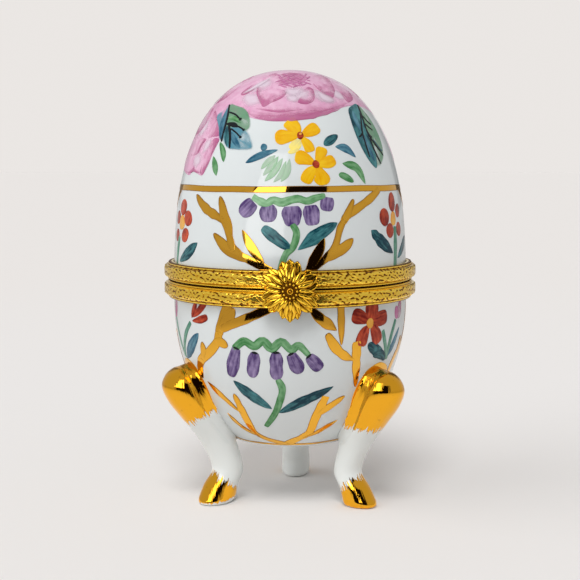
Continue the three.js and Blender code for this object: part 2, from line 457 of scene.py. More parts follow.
class Surface:
    """A material with one Principled shader, ready for its nodes."""

    def __init__(self, name: str, **sockets: Any) -> None:
        """Makes the material.

        Args:
            name: Name of the material.
            **sockets: Constant values of the shader's sockets, with _ for a space.
        """
        self.material = bpy.data.materials.new(name)
        self.material.use_nodes = True
        self.sketch = NodeSketch(self.material.node_tree)
        self.shader = self.material.node_tree.nodes["Principled BSDF"]
        for label, value in sockets.items():
            self.shader.inputs[label.replace("_", " ")].default_value = value

    def group(self, tree: bpy.types.NodeTree, **values: Any) -> bpy.types.Node:
        """Places a node group, with _ for a space in its input names."""
        inputs = {label.replace("_", " "): value for label, value in values.items()}
        return self.sketch.add("ShaderNodeGroup", inputs, node_tree=tree)

    def join(self, **outputs: Any) -> None:
        """Feeds outputs to the shader's sockets, with _ for a space."""
        for label, output in outputs.items():
            self.sketch.feed(self.shader.inputs[label.replace("_", " ")], output)

    def bump(self, height: Any, strength: float, distance: float) -> None:
        """Feeds the shader's normal from a height in a Bump node.

        Args:
            height: Output with the height.
            strength: Strength of the bump.
            distance: Height in millimetres that 1 stands for.
        """
        inputs = {"Height": height, "Strength": strength, "Distance": distance * MM}
        self.join(Normal=self.sketch.add("ShaderNodeBump", inputs).outputs[0])


class Effects:
    """Node groups that several finishes share."""

    def __init__(self) -> None:
        """Builds every group once."""
        self.glaze = shader_group(
            "glaze_tone",
            {"Light Tone": (1.0, 1.0, 1.0, 1.0), "Shade Tone": (0.9, 0.9, 0.9, 1.0)},
            {"Colour": "NodeSocketColor", "Ripple": "NodeSocketFloat"},
            self.fill_glaze,
        )
        self.streaks = shader_group(
            "brush_streaks",
            {"Thin Colour": (1.0, 1.0, 1.0, 1.0), "Thick Colour": (0.0, 0.0, 0.0, 1.0), "Streaks": 0.5},
            {"Colour": "NodeSocketColor", "Load": "NodeSocketFloat"},
            self.fill_streaks,
        )
        self.gilding = shader_group(
            "gilding_tone",
            {"Gold": (1.0, 0.6, 0.1, 1.0), "Deep Gold": (0.6, 0.3, 0.03, 1.0)},
            {"Colour": "NodeSocketColor", "Roughness": "NodeSocketFloat", "Ripple": "NodeSocketFloat"},
            self.fill_gilding,
        )

    @staticmethod
    def fill_glaze(sketch: NodeSketch, source: Any, result: Any) -> None:
        """Slow changes of tone and a faint ripple, as in a poured glaze.

        Args:
            sketch: Sketch of the group.
            source: Outputs of its input node.
            result: Inputs of its output node.
        """
        place = sketch.millimetres()
        tone = sketch.noise(place, 0.06, 3.0)
        sketch.feed(result["Colour"], sketch.blend(tone, source["Shade Tone"], source["Light Tone"]))
        sketch.feed(result["Ripple"], sketch.noise(place, 0.22, 1.0))

    @staticmethod
    def fill_streaks(sketch: NodeSketch, source: Any, result: Any) -> None:
        """Streaks that run along each brush mark, and paint that pools where the mark says.

        Args:
            sketch: Sketch of the group.
            source: Outputs of its input node.
            result: Inputs of its output node.
        """
        along = sketch.point_value("stroke", "Vector")
        fine = sketch.noise(along, 1.0, 4.0)
        patch = sketch.noise(sketch.millimetres(), 0.8, 2.0)
        blotch = sketch.math("MULTIPLY", sketch.math("SUBTRACT", patch, 0.5), 0.45)
        lift = sketch.math("ADD", sketch.math("SUBTRACT", fine, 0.5), blotch)
        load = sketch.math("MULTIPLY_ADD", lift, source["Streaks"], sketch.point_value("paint_load"))
        share = sketch.math("MINIMUM", sketch.math("MAXIMUM", load, 0.0), 1.0)
        sketch.feed(result["Colour"], sketch.blend(share, source["Thin Colour"], source["Thick Colour"]))
        sketch.feed(result["Load"], share)

    @staticmethod
    def fill_gilding(sketch: NodeSketch, source: Any, result: Any) -> None:
        """Brushed gold that darkens where it lies thin at its edge.

        Args:
            sketch: Sketch of the group.
            source: Outputs of its input node.
            result: Inputs of its output node.
        """
        place = sketch.millimetres()
        wear = sketch.noise(place, 0.9, 4.0)
        edge = sketch.point_value("rim")
        dull = sketch.math("MAXIMUM", edge, sketch.span(wear, 0.62, 0.8, 0.0, 0.35))
        sketch.feed(result["Colour"], sketch.blend(dull, source["Gold"], source["Deep Gold"]))
        sketch.feed(result["Roughness"], sketch.span(wear, 0.3, 0.75, 0.035, 0.09))
        sketch.feed(result["Ripple"], sketch.noise(place, 0.5, 2.0))


@dataclass(frozen=True)
class PorcelainFinish:
    """Cool white glazed porcelain."""

    light: Colour = linear(220, 225, 226)
    shade: Colour = linear(213, 219, 220)
    roughness: float = 0.07

    def material(self, effects: Effects) -> Material:
        """Builds the material.

        Args:
            effects: Node groups that finishes share.

        Returns:
            The new material.
        """
        surface = Surface("glazed_porcelain", Roughness=self.roughness, IOR=GLAZE_IOR)
        glaze = surface.group(effects.glaze, Light_Tone=self.light, Shade_Tone=self.shade)
        surface.join(Base_Color=glaze.outputs["Colour"])
        surface.bump(glaze.outputs["Ripple"], 0.12, 0.25)
        return surface.material


@dataclass(frozen=True)
class EnamelFinish:
    """One overglaze colour, from its thin wash to where it pools, as screen colours."""

    thin: tuple[int, int, int]
    thick: tuple[int, int, int]
    streaks: float = 1.8
    veil: float = 0.0
    cover: float = 1.0
    roughness: float = 0.14
    gloss: float = 0.22

    def material(self, effects: Effects, name: str) -> Material:
        """Builds the material, which lets the glaze through where a veil of paint lies thin.

        Args:
            effects: Node groups that finishes share.
            name: Name of the colour.

        Returns:
            The new material.
        """
        surface = Surface(
            f"enamel_{name}", Roughness=self.roughness, IOR=GLAZE_IOR, Specular_IOR_Level=self.gloss
        )
        thin = linear(*self.thin)
        thick = linear(*self.thick)
        paint = surface.group(effects.streaks, Thin_Colour=thin, Thick_Colour=thick, Streaks=self.streaks)
        surface.join(Base_Color=paint.outputs["Colour"])
        if self.veil:
            bare = self.cover - self.veil
            surface.join(Alpha=surface.sketch.span(paint.outputs["Load"], 0.0, 0.9, bare, self.cover))
        surface.bump(paint.outputs["Load"], 0.2, 0.05)
        return surface.material


@dataclass(frozen=True)
class GildingFinish:
    """Burnished gold painted on the glaze."""

    gold: Colour = (0.83, 0.43, 0.045, 1.0)
    deep: Colour = (0.30, 0.11, 0.015, 1.0)

    def material(self, effects: Effects) -> Material:
        """Builds the material.

        Args:
            effects: Node groups that finishes share.

        Returns:
            The new material.
        """
        surface = Surface("burnished_gilding", Metallic=1.0)
        gilding = surface.group(effects.gilding, Gold=self.gold, Deep_Gold=self.deep)
        surface.join(Base_Color=gilding.outputs["Colour"], Roughness=gilding.outputs["Roughness"])
        surface.bump(gilding.outputs["Ripple"], 0.04, 0.04)
        return surface.material


@dataclass(frozen=True)
class LegFinish:
    """Porcelain leg with gilding brushed over its knee and hoof; its glaze is a lighter copy of the egg's,
    as painted light.
    """

    # Painted light: a lighter copy of the egg's glaze, so that the legs read brighter
    porcelain: PorcelainFinish = PorcelainFinish(linear(232, 236, 234), linear(226, 230, 228))
    gilding: GildingFinish = GildingFinish(gold=(0.87, 0.42, 0.025, 1.0))
    ragged: float = 6.0
    brushed: float = 8.0

    def material(self, effects: Effects) -> Material:
        """Builds the material.

        Args:
            effects: Node groups that finishes share.

        Returns:
            The new material.
        """
        surface = Surface("gilded_leg_porcelain", IOR=GLAZE_IOR)
        sketch = surface.sketch
        porcelain = self.porcelain
        glaze = surface.group(effects.glaze, Light_Tone=porcelain.light, Shade_Tone=porcelain.shade)
        gilding = surface.group(effects.gilding, Gold=self.gilding.gold, Deep_Gold=self.gilding.deep)
        strokes = sketch.noise(sketch.point_value("wrap", "Vector"), 1.0, 3.0)
        reach = sketch.math("MULTIPLY_ADD", strokes, self.ragged, sketch.point_value("gilt"))
        inside = sketch.math("SUBTRACT", reach, self.ragged / 2)
        mask = sketch.span(inside, -0.06, 0.06, 0.0, 1.0)
        edge = sketch.span(inside, 0.0, 0.3, 0.8, 0.0)
        gold = sketch.blend(edge, gilding.outputs["Colour"], self.gilding.deep)
        rough_gold = sketch.math("MULTIPLY", mask, gilding.outputs["Roughness"])
        bare = sketch.math("SUBTRACT", 1.0, mask)
        surface.join(
            Base_Color=sketch.blend(mask, glaze.outputs["Colour"], gold),
            Metallic=mask,
            Roughness=sketch.math("MULTIPLY_ADD", bare, porcelain.roughness, rough_gold),
        )
        brushing = sketch.math("MULTIPLY", strokes, mask)
        relief = sketch.math("MULTIPLY_ADD", brushing, self.brushed, gilding.outputs["Ripple"])
        surface.bump(relief, 0.1, 0.1)
        return surface.material


@dataclass(frozen=True)
class BrassFinish:
    """Gilt brass with painted light: bright on its high places as a painted highlight, warmer below, and
    dark in its hollows as painted shade.
    """

    name: str = "gilt_brass"
    bright: Colour = (1.0, 0.68, 0.075, 1.0)
    warm: Colour = (0.95, 0.48, 0.022, 1.0)
    hollow: Colour = (0.16, 0.06, 0.004, 1.0)
    polish: float = 0.15
    metallic: float = 0.9

    def material(self) -> Material:
        """Builds the material.

        Returns:
            The new material.
        """
        surface = Surface(self.name, Metallic=self.metallic)
        sketch = surface.sketch
        place = sketch.millimetres()
        relief = sketch.point_value("relief")
        # The relief value carries painted light: high values give the bright colour of a painted highlight
        # and low ones the dark hollow colour of painted shade
        depth = sketch.math("MULTIPLY_ADD", sketch.noise(place, 3.0, 2.0), 0.3, relief)
        tone = sketch.blend(sketch.span(depth, 0.5, 1.1, 0.0, 1.0), self.warm, self.bright)
        high = sketch.span(depth, 0.3, 0.75, 0.0, 1.0)
        surface.join(
            Base_Color=sketch.blend(high, self.hollow, tone),
            Roughness=sketch.span(depth, 0.2, 0.9, 0.45, self.polish),
        )
        surface.bump(sketch.noise(place, 4.0, 3.0), 0.15, 0.04)
        return surface.material


class Paint(Enum):
    """Colours on the painter's tile."""

    PURPLE = "purple"
    INK = "ink"
    GREEN = "green"
    PALE_GREEN = "pale_green"
    STEM = "stem"
    TEAL = "teal"
    BLUE = "blue"
    LEAF_GREEN = "leaf_green"
    LEAF_BLUE = "leaf_blue"
    YELLOW = "yellow"
    PALE_YELLOW = "pale_yellow"
    AMBER = "amber"
    RED = "red"
    WASH = "pink_wash"
    PINK = "pink"
    ROSE = "rose"
    WHITE = "white"
    GOLD = "gold"


PAINTS: dict[Paint, EnamelFinish] = {
    Paint.PURPLE: EnamelFinish((160, 142, 182), (74, 52, 106), 2.2),
    Paint.INK: EnamelFinish((30, 36, 42), (6, 8, 12), 0.6),
    Paint.GREEN: EnamelFinish((142, 188, 144), (58, 122, 66)),
    Paint.PALE_GREEN: EnamelFinish((212, 228, 212), (146, 188, 150), 1.4, 0.6),
    Paint.STEM: EnamelFinish((138, 182, 162), (70, 128, 106)),
    Paint.TEAL: EnamelFinish((78, 142, 146), (2, 54, 68), 2.2),
    Paint.BLUE: EnamelFinish((104, 154, 170), (32, 86, 112), 2.0),
    Paint.LEAF_GREEN: EnamelFinish((152, 186, 158), (94, 142, 110), 0.45, 1.0),
    Paint.LEAF_BLUE: EnamelFinish((132, 184, 202), (66, 126, 146), 0.45, 1.0),
    Paint.YELLOW: EnamelFinish((242, 202, 34), (230, 164, 0), 1.4),
    Paint.PALE_YELLOW: EnamelFinish((252, 242, 176), (248, 226, 110), 0.8, 0.7),
    Paint.AMBER: EnamelFinish((240, 194, 96), (216, 138, 40), 1.0),
    Paint.RED: EnamelFinish((206, 84, 50), (122, 18, 4), 2.2),
    Paint.WASH: EnamelFinish((232, 196, 216), (214, 150, 186), 1.2),
    Paint.PINK: EnamelFinish((216, 150, 188), (178, 94, 142), 1.4),
    Paint.ROSE: EnamelFinish((216, 146, 180), (190, 100, 146), 0.8, 0.8, 0.8),
    Paint.WHITE: EnamelFinish((230, 206, 222), (234, 216, 230), 0.3, 0.8, 0.8),
}


# Forms


@dataclass(frozen=True)
class EggForm:
    """Outside of the egg: a dome above its equator and half an ellipsoid below it."""

    radius: float
    top: float
    bottom: float
    equator: float = 46.7
    drop: float = 37.2
    taper_power: float = 3.0
    round_power: float = 2.2

    @classmethod
    def from_frame(cls) -> "EggForm":
        """Takes the sizes that the solids show.

        Returns:
            The egg's form.
        """
        low, high = box_of("base_shell")
        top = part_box("lid_shell")[1].z / MM
        return cls(radius=float(high.x), top=float(top), bottom=float(low.z))

    def radius_at(self, height: Array | float, inset: float = 0.0) -> Array:
        """Radius at a height, with the surface moved inwards by inset.

        Args:
            height: Heights above the floor.
            inset: Distance inwards.

        Returns:
            A radius for each height.
        """
        height = np.asarray(height, float)
        rise = np.clip((height - self.equator) / (self.top - self.equator - inset), 0.0, 1.0)
        fall = np.clip((self.equator - height) / (self.drop - inset), 0.0, 1.0)
        dome = (1.0 - rise**self.taper_power) ** (1.0 / self.round_power)
        bowl = np.sqrt(1.0 - fall**2)
        return (self.radius - inset) * np.where(height > self.equator, dome, bowl)

    def place(self, spots: Iterable[Spot] | Array) -> Array:
        """Points on the surface at azimuths and heights.

        Args:
            spots: Azimuth and height pairs.

        Returns:
            A point for each spot.
        """
        azimuth, height = np.asarray(spots, float).T
        radius = self.radius_at(height)
        return on_circle(radius, np.radians(azimuth), height)

    def depth_and_normal(self, points: Array) -> tuple[Array, Array]:
        """Finds how far points stand off the surface.

        Args:
            points: Points near the surface, in the last axis.

        Returns:
            Distance outside the surface, to first order, and the outward normal.
        """
        across = np.hypot(points[..., 0], points[..., 1])
        above = points[..., 2] > self.equator
        rise = np.abs(points[..., 2] - self.equator) / np.where(above, self.top - self.equator, self.drop)
        side_power = np.where(above, self.round_power, 2.0)
        rise_power = np.where(above, self.taper_power, 2.0)
        share = across / self.radius
        level = share**side_power + rise**rise_power - 1.0
        out = side_power / self.radius * share ** (side_power - 1.0)
        up = rise_power * rise ** (rise_power - 1.0)
        up = up / np.where(above, self.top - self.equator, -self.drop)
        safe = np.maximum(across, 1e-6)
        slope = np.stack([out * points[..., 0] / safe, out * points[..., 1] / safe, up], axis=-1)
        steep = np.linalg.norm(slope, axis=-1)
        return level / steep, slope / steep[..., None]

    def settle(self, points: Array, lift: Array | float = 0.0) -> Array:
        """Brings points onto the surface, then lifts them off it.

        Args:
            points: Points near the surface.
            lift: Distance off it for each point.

        Returns:
            The moved points.
        """
        for _ in range(5):
            depth, normal = self.depth_and_normal(points)
            points = points - depth[..., None] * normal
        _, normal = self.depth_and_normal(points)
        return points + np.asarray(lift)[..., None] * normal


@dataclass
class Shells:
    """Porcelain cup and dome."""

    egg: EggForm
    wall: float = 2.6
    floor: float = 2.85
    corner: float = 0.5
    segments: int = 256
    steps: int = 110

    def rim_heights(self) -> tuple[float, float]:
        """Heights of the cup's upper edge and of the dome's lower edge."""
        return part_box("base_shell")[1].z / MM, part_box("lid_shell")[0].z / MM

    def profile(self, start: float, end: float, inset: float) -> Array:
        """Radius and height pairs along the egg, closing up towards the end height."""
        height = start + (end - start) * np.sin(np.linspace(0, np.pi / 2, self.steps))
        return np.stack([self.egg.radius_at(height, inset), height], axis=-1)

    def build(self, material: Material) -> None:
        """Makes both shells.

        Args:
            material: Glazed porcelain.
        """
        cup_rim, dome_rim = self.rim_heights()
        bottom = self.egg.bottom
        foot = self.egg.radius_at(bottom + self.corner)
        turn = np.linspace(np.pi / 2, 0, 5)[:-1, None]
        corner = np.hstack([
            foot - self.corner * (1 - np.cos(turn)),
            bottom + self.corner * (1 - np.sin(turn)),
        ])
        inside = self.profile(cup_rim, bottom + self.floor, self.wall)
        cup = np.vstack([
            [[0, bottom]],
            corner,
            self.profile(cup_rim, bottom + self.corner, 0.0)[::-1],
            inside,
            [[0, bottom + self.floor]],
        ])
        dome_in = self.profile(dome_rim, self.egg.top - self.wall, self.wall)
        dome_out = self.profile(dome_rim, self.egg.top, 0.0)
        dome = np.vstack([dome_in[::-1], dome_out])
        dome[[0, -1], 0] = 0.0
        for body, outline in ((BASE, cup), (LID, dome)):
            draft = MeshDraft()
            turned(draft, outline, self.segments)
            shell = draft.build(f"{body}_porcelain", material, crease=50)
            carry(shell, body, PORCELAIN_SLOT, f"{body}_shell")


@dataclass(frozen=True)
class LegStation:
    """One level of a leg: its reach from the axis, height and half sizes."""

    reach: float
    height: float
    depth: float
    width: float


@dataclass
class Legs:
    """Three cabriole legs with gilded knees and hooves."""

    egg: EggForm
    stations: tuple[LegStation, ...] = (
        LegStation(18.6, 0.0, 5.3, 3.6),
        LegStation(17.6, 4.0, 4.3, 3.5),
        LegStation(16.1, 8.0, 3.7, 3.4),
        LegStation(18.2, 14.0, 4.2, 3.5),
        LegStation(21.8, 19.8, 4.9, 4.4),
        LegStation(24.3, 24.0, 5.6, 5.2),
        LegStation(25.9, 27.6, 5.6, 5.1),
        LegStation(26.2, 30.2, 4.6, 4.3),
        LegStation(25.9, 31.9, 3.0, 2.9),
        LegStation(25.6, 32.8, 0.5, 0.5),
    )
    names: tuple[str, ...] = ("leg_front_right", "leg_rear", "leg_front_left")
    heel_limits: tuple[float, ...] = (-0.8, 0.15, -0.8)
    knee_edges: tuple[float, ...] = (19.1, 20.2, 21.5)
    knee_tilts: tuple[float, ...] = (0.1, 0.25, 0.48)
    bare_soles: tuple[float, ...] = (0.2, 0.7, 1.1)
    first_azimuth: float = 55.5
    leans: tuple[float, ...] = (-4.5, -3.0, -3.0)
    hoof_turns: tuple[float, ...] = (-10.0, 0.0, 24.0)
    toe_stretches: tuple[float, ...] = (0.7, 0.0, 0.6)
    heel_trims: tuple[float, ...] = (1.9, 0.0, 0.7)
    calf_trims: tuple[float, ...] = (1.0, 0.0, 0.0)
    turn_height: float = 7.0
    calf_heights: Pair = (18.0, 12.0)
    flare: float = 0.12
    flare_height: float = 6.0
    sole_round: float = 1.5
    sole_tuck: float = 0.24
    fillet: float = 1.0
    fillet_reach: float = 2.0
    groove: float = 0.3
    groove_place: float = 2.1
    groove_width: float = 0.6
    bury: float = 0.5
    rows: int = 160
    columns: int = 112
    hairs: float = 11.0
    hoof_edge: float = 4.6
    hoof_tilt: float = 2.4
    heel_cut: float = 14.0
    sole_edge: float = 3.0
    sole_tilt: float = 0.5
    hair_run: float = 0.22

    def loft(self, number: int) -> tuple[Array, Array, Array]:
        """Points of one leg with the values that its gilding needs.

        Args:
            number: Number of the leg, from the front right one round.

        Returns:
            Rings of points, how far inside the gilding each point is, and seamless wrap coordinates.
        """
        azimuth = self.first_azimuth + 360 / len(self.names) * number
        table = np.array([[s.reach, s.height, s.depth, s.width] for s in self.stations])
        share = np.linspace(0, 1, self.rows)
        reach, height, depth, width = through(table, share).T[:, :, None]
        height = np.maximum(height, 0.0)
        angle = np.linspace(0, 2 * np.pi, self.columns, endpoint=False)[None, :]
        front = np.cos(angle)
        side = np.sin(angle)
        spread = self.flare * np.clip(1 - height / self.flare_height, 0, 1)
        ease = np.clip(height / self.sole_round, 0, 1)
        tuck = 1 - self.sole_tuck * (1 - np.sqrt(1 - (1 - ease) ** 2))
        low = np.clip(1 - height / self.turn_height, 0, 1)
        toe = self.toe_stretches[number] * low * np.maximum(front, 0)
        calf = self.calf_trims[number] * smooth_step(height, *self.calf_heights)
        heel_trim = self.heel_trims[number] * low
        ahead = (depth * front + toe + (calf + heel_trim) * np.maximum(-front, 0)) * tuck
        aside = width * side * (1 + spread * front) * tuck
        twist = np.radians(self.hoof_turns[number]) * low
        outward = reach + ahead * np.cos(twist) - aside * np.sin(twist)
        across = ahead * np.sin(twist) + aside * np.cos(twist)
        kneel = self.stations[-1].height
        turn = np.radians(azimuth + self.leans[number] * height / kneel)
        points = np.stack([
            outward * np.sin(turn) + across * np.cos(turn),
            -outward * np.cos(turn) + across * np.sin(turn),
            np.broadcast_to(height, outward.shape),
        ], axis=-1)
        knee = height + self.knee_tilts[number] * depth * front - self.knee_edges[number]
        heel = np.clip(self.heel_limits[number] - front, 0, 1)
        hoof = self.hoof_edge + self.hoof_tilt * front - self.heel_cut * heel - height
        bare = self.bare_soles[number] * (1 - self.sole_tilt * front)
        hoof = np.minimum(hoof, self.sole_edge * (height - bare))
        gilt = np.maximum(knee, hoof)
        wrap = np.stack([
            np.broadcast_to(self.hairs * front, gilt.shape),
            np.broadcast_to(self.hairs * side, gilt.shape),
            np.broadcast_to(self.hair_run * height + azimuth, gilt.shape),
        ], axis=-1)
        return points, gilt, wrap

    def seat(self, points: Array) -> Array:
        """Flares a leg into the egg and keeps it out of the hollow.

        Args:
            points: Rings of points of one leg.

        Returns:
            The same rings, moved.
        """
        middle = points.mean(axis=1, keepdims=True)
        depth, normal = self.egg.depth_and_normal(points)
        free = points[..., 2] < self.egg.bottom
        near = np.clip(1 - np.abs(depth) / self.fillet_reach, 0, 1) ** 3
        away = unit(points - middle)
        away = away - (away * normal).sum(-1, keepdims=True) * normal
        groove = self.groove * np.exp(-(((depth - self.groove_place) / self.groove_width) ** 2))
        push = np.where(free, 0.0, self.fillet * near - groove)
        flared = points + push[..., None] * away
        depth, _ = self.egg.depth_and_normal(flared)
        sunk = self.egg.settle(flared, np.full(depth.shape, -self.bury))
        inside = (depth < -self.bury) & (flared[..., 2] > self.egg.bottom)
        return np.where(inside[..., None], sunk, flared)

    def build(self, material: Material) -> None:
        """Makes the three legs.

        Args:
            material: Gilded porcelain.
        """
        for number, name in enumerate(self.names):
            points, gilt, wrap = self.loft(number)
            draft = MeshDraft()
            draft.tube(self.seat(points), gilt=gilt, wrap=wrap)
            carry(draft.build(f"{name}_porcelain", material, crease=50), BASE, PORCELAIN_SLOT, name)


@dataclass
class Mounts:
    """Embossed brass strips and plain brass channels on both sides of the split."""

    egg: EggForm
    split: float
    gap: float = 0.3
    depth: float = 4.1
    inner: float = 27.95
    swell: float = 1.5
    lip: float = 0.78
    leaf_pitch: float = 2.3
    leaf_length: float = 3.4
    leaf_width: float = 0.42
    relief: float = 0.15
    grain: float = 0.055
    # Rows of leaves, as distance from the split and slant, and how far single leaves stray
    leaf_rows: tuple[Pair, ...] = ((1.0, 9.0), (1.5, -12.0), (2.0, 8.0), (2.5, -10.0), (3.0, 11.0))
    row_shift: float = 0.37
    stray_along: float = 0.25
    stray_tilt: float = 10.0
    stray_up: float = 0.1
    leaf_point: float = 0.7
    leaf_rise: float = 0.72
    # Section of a strip: middles and half widths as shares of it, a bead's height as a share of the lip
    ground: float = 0.42
    groove_top: float = 0.62
    roll: Pair = (0.48, 0.36)
    beads: tuple[tuple[float, float, float], ...] = ((0.06, 0.075, 0.95), (0.91, 0.085, 0.8))
    roll_start: Pair = (0.14, 0.2)
    roll_end: Pair = (0.86, 0.8)
    # Chasing marks and dots
    ripple_count: int = 40
    ripple_pitch: Pair = (4.5, 11.0)
    ripple_slant: Pair = (0.3, 1.0)
    ripple_stretch: float = 0.8
    flat_grain: float = 0.25
    dot_pitch: float = 2.4
    dot_size: float = 0.22
    dot_place: Pair = (0.86, 0.06)
    dot_depth: float = 0.2
    # How far a strip reaches into its channel, and the channel itself
    overlap: float = 0.05
    skin: float = 0.5
    lining_gap: float = 0.15
    lining_depth: float = 3.2
    edge: float = 0.12
    seeds: tuple[int, int] = (11, 12)
    around: int = 1500
    rows: int = 60
    channel_segments: int = 256

    def strip_radius(self, level: Array) -> Array:
        """Plain radius of a strip at a distance from the split: a wide roll between two thin beads.

        Args:
            level: Distances from the split.

        Returns:
            A radius for each distance.
        """
        start = self.gap / 2
        share = (level - start) / (self.depth - start)
        middle, half = self.roll
        roll = np.cbrt(np.clip(1 - np.abs((share - middle) / half) ** 3, 0, 1))
        crest = self.swell - self.relief * 0.5
        form = self.ground + (crest - self.ground) * roll
        for middle, half, size in self.beads:
            bead = np.sqrt(np.clip(1 - ((share - middle) / half) ** 2, 0, 1))
            form = np.maximum(form, self.lip * size * bead)
        return self.inner + form

    def leaves(self, along: Array, level: Array, dice: np.random.Generator) -> Array:
        """Relief of overlapping leaves along a strip.

        Args:
            along: Distance round the strip.
            level: Distance from the split.
            dice: Source of their small differences.

        Returns:
            Relief from 0 in the ground to 1 on a leaf's back.
        """
        length = 2 * np.pi * (self.inner + self.swell)
        count = round(length / self.leaf_pitch)
        pitch = length / count
        height = np.zeros(np.broadcast(along, level).shape)
        for row, (middle, slant) in enumerate(self.leaf_rows):
            jitter = dice.uniform(-1, 1, (count, 3))
            start = (self.row_shift * row) % 1.0
            near = np.floor(along / pitch - start).astype(int)
            for offset in (-1, 0, 1):
                index = near + offset
                shift = jitter[index % count]
                centre = (index + start + 0.5 + self.stray_along * shift[..., 0]) * pitch
                tilt = np.radians(slant + self.stray_tilt * shift[..., 1])
                run = along - centre
                rise = level - middle - self.stray_up * shift[..., 2]
                lengthwise = (run * np.cos(tilt) + rise * np.sin(tilt)) / (self.leaf_length / 2)
                crosswise = rise * np.cos(tilt) - run * np.sin(tilt)
                width = self.leaf_width * np.clip(1 - lengthwise**2, 0, 1) ** self.leaf_point
                inside = np.clip(1 - (crosswise / np.maximum(width, 1e-3)) ** 2, 0, 1)
                rounded = self.leaf_rise + (1 - self.leaf_rise) * shift[..., 2]
                height = np.maximum(height, np.sqrt(inside) * rounded)
        return height

    def ripples(self, along: Array, level: Array, dice: np.random.Generator) -> Array:
        """Uneven chasing marks that run along a strip, mostly from -1 to 1.

        Args:
            along: Distance round the strip.
            level: Distance from the split.
            dice: Source of their differences.

        Returns:
            Height of the marks at each place.
        """
        total = np.zeros(np.broadcast(along, level).shape)
        turns = 1 / (self.inner + self.swell)
        for _ in range(self.ripple_count):
            pitch = dice.uniform(*self.ripple_pitch)
            slant = dice.uniform(*self.ripple_slant) * np.pi / 2
            around = round(self.ripple_stretch * pitch * math.cos(slant) / turns)
            upwards = pitch * math.sin(slant) * dice.choice([-1, 1])
            phase = dice.uniform(0, 2 * np.pi)
            total = total + np.sin(around * turns * along + upwards * level + phase)
        return total / math.sqrt(self.ripple_count)

    def strip(self, side: int, seed: int) -> MeshDraft:
        """Embossed strip, below the split for side -1 and above it for side 1.

        Args:
            side: Side of the split.
            seed: Seed of the carving.

        Returns:
            Draft of the strip.
        """
        dice = np.random.default_rng(seed)
        level = np.linspace(self.gap / 2, self.depth, self.rows)[:, None]
        angle = np.linspace(0, 2 * np.pi, self.around, endpoint=False)[None, :]
        along = angle * (self.inner + self.swell)
        plain = self.strip_radius(level)
        share = (level - self.gap / 2) / (self.depth - self.gap / 2)
        on_roll = smooth_step(share, *self.roll_start) * smooth_step(share, *self.roll_end)
        grain = self.ripples(along, level, dice)
        carved = self.leaves(along, level, dice) * on_roll
        step = (along % self.dot_pitch) - self.dot_pitch / 2
        dot_middle, dot_half = self.dot_place
        dots = np.exp(-((step / self.dot_size) ** 2) - ((share - dot_middle) / dot_half) ** 2)
        rough = self.grain * grain * (self.flat_grain + (1 - self.flat_grain) * on_roll)
        surface = self.relief * carved + rough - self.dot_depth * dots
        radius = np.minimum(plain + surface, self.inner + self.swell)
        height = self.split + side * level
        back = self.inner - self.overlap
        ends = [on_circle(back, angle, height[[row]]) for row in (-1, 0)]
        rings = np.concatenate([on_circle(radius, angle, height), *ends])
        # Painted light: the strip's tone is bright on the roll's crest, the leaves' backs and the high grain
        # as painted highlight, and dark in the grooves, between the leaves and in the dots as painted shade
        grooves = smooth_step(plain - self.inner, self.ground, self.groove_top)
        leafy = 0.5 + 0.5 * carved + 0.75 * grain
        tone = on_roll * leafy + (1 - on_roll) * grooves - 0.8 * dots
        tone = np.concatenate([np.broadcast_to(tone, radius.shape), np.zeros((2, self.around))])
        draft = MeshDraft()
        faces = grid_faces(len(rings) + 1, self.around, True) % (len(rings) * self.around)
        draft.add(rings, [faces], relief=tone.ravel())
        return draft

    def channel(self, side: int) -> MeshDraft:
        """Plain channel that wraps a porcelain rim outside, across and inside.

        Args:
            side: Side of the split, as for a strip.

        Returns:
            Draft of the channel.
        """
        node = "base_collar" if side < 0 else "lid_collar"
        outer = float(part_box(node)[1].x) / MM
        wrapped = outer - self.skin
        lining = self.egg.radius - Shells.wall - self.lining_gap
        inner = lining - self.skin
        face = self.gap / 2
        eased = face + self.edge
        levels = [
            (outer - self.edge, face), (inner + self.edge, face), (inner, eased),
            (inner, self.lining_depth), (lining, self.lining_depth), (lining, face + self.skin),
            (wrapped, face + self.skin), (wrapped, self.depth), (outer, self.depth), (outer, eased),
        ]
        outline = np.array([[radius, self.split + side * level] for radius, level in levels])
        draft = MeshDraft()
        turned(draft, outline, self.channel_segments, relief=1.0)
        return draft

    def build(self, material: Material) -> None:
        """Makes a strip and a channel for the base and for the lid.

        Args:
            material: Gilt brass.
        """
        for body, side, seed in zip((BASE, LID), (-1, 1), self.seeds):
            strip = self.strip(side, seed).build(f"{body}_embossed_band", material)
            carry(strip, body, BRASS_SLOT, f"{body}_band")
            channel = self.channel(side).build(f"{body}_channel", material, crease=40)
            carry(channel, body, BRASS_SLOT, f"{body}_collar")


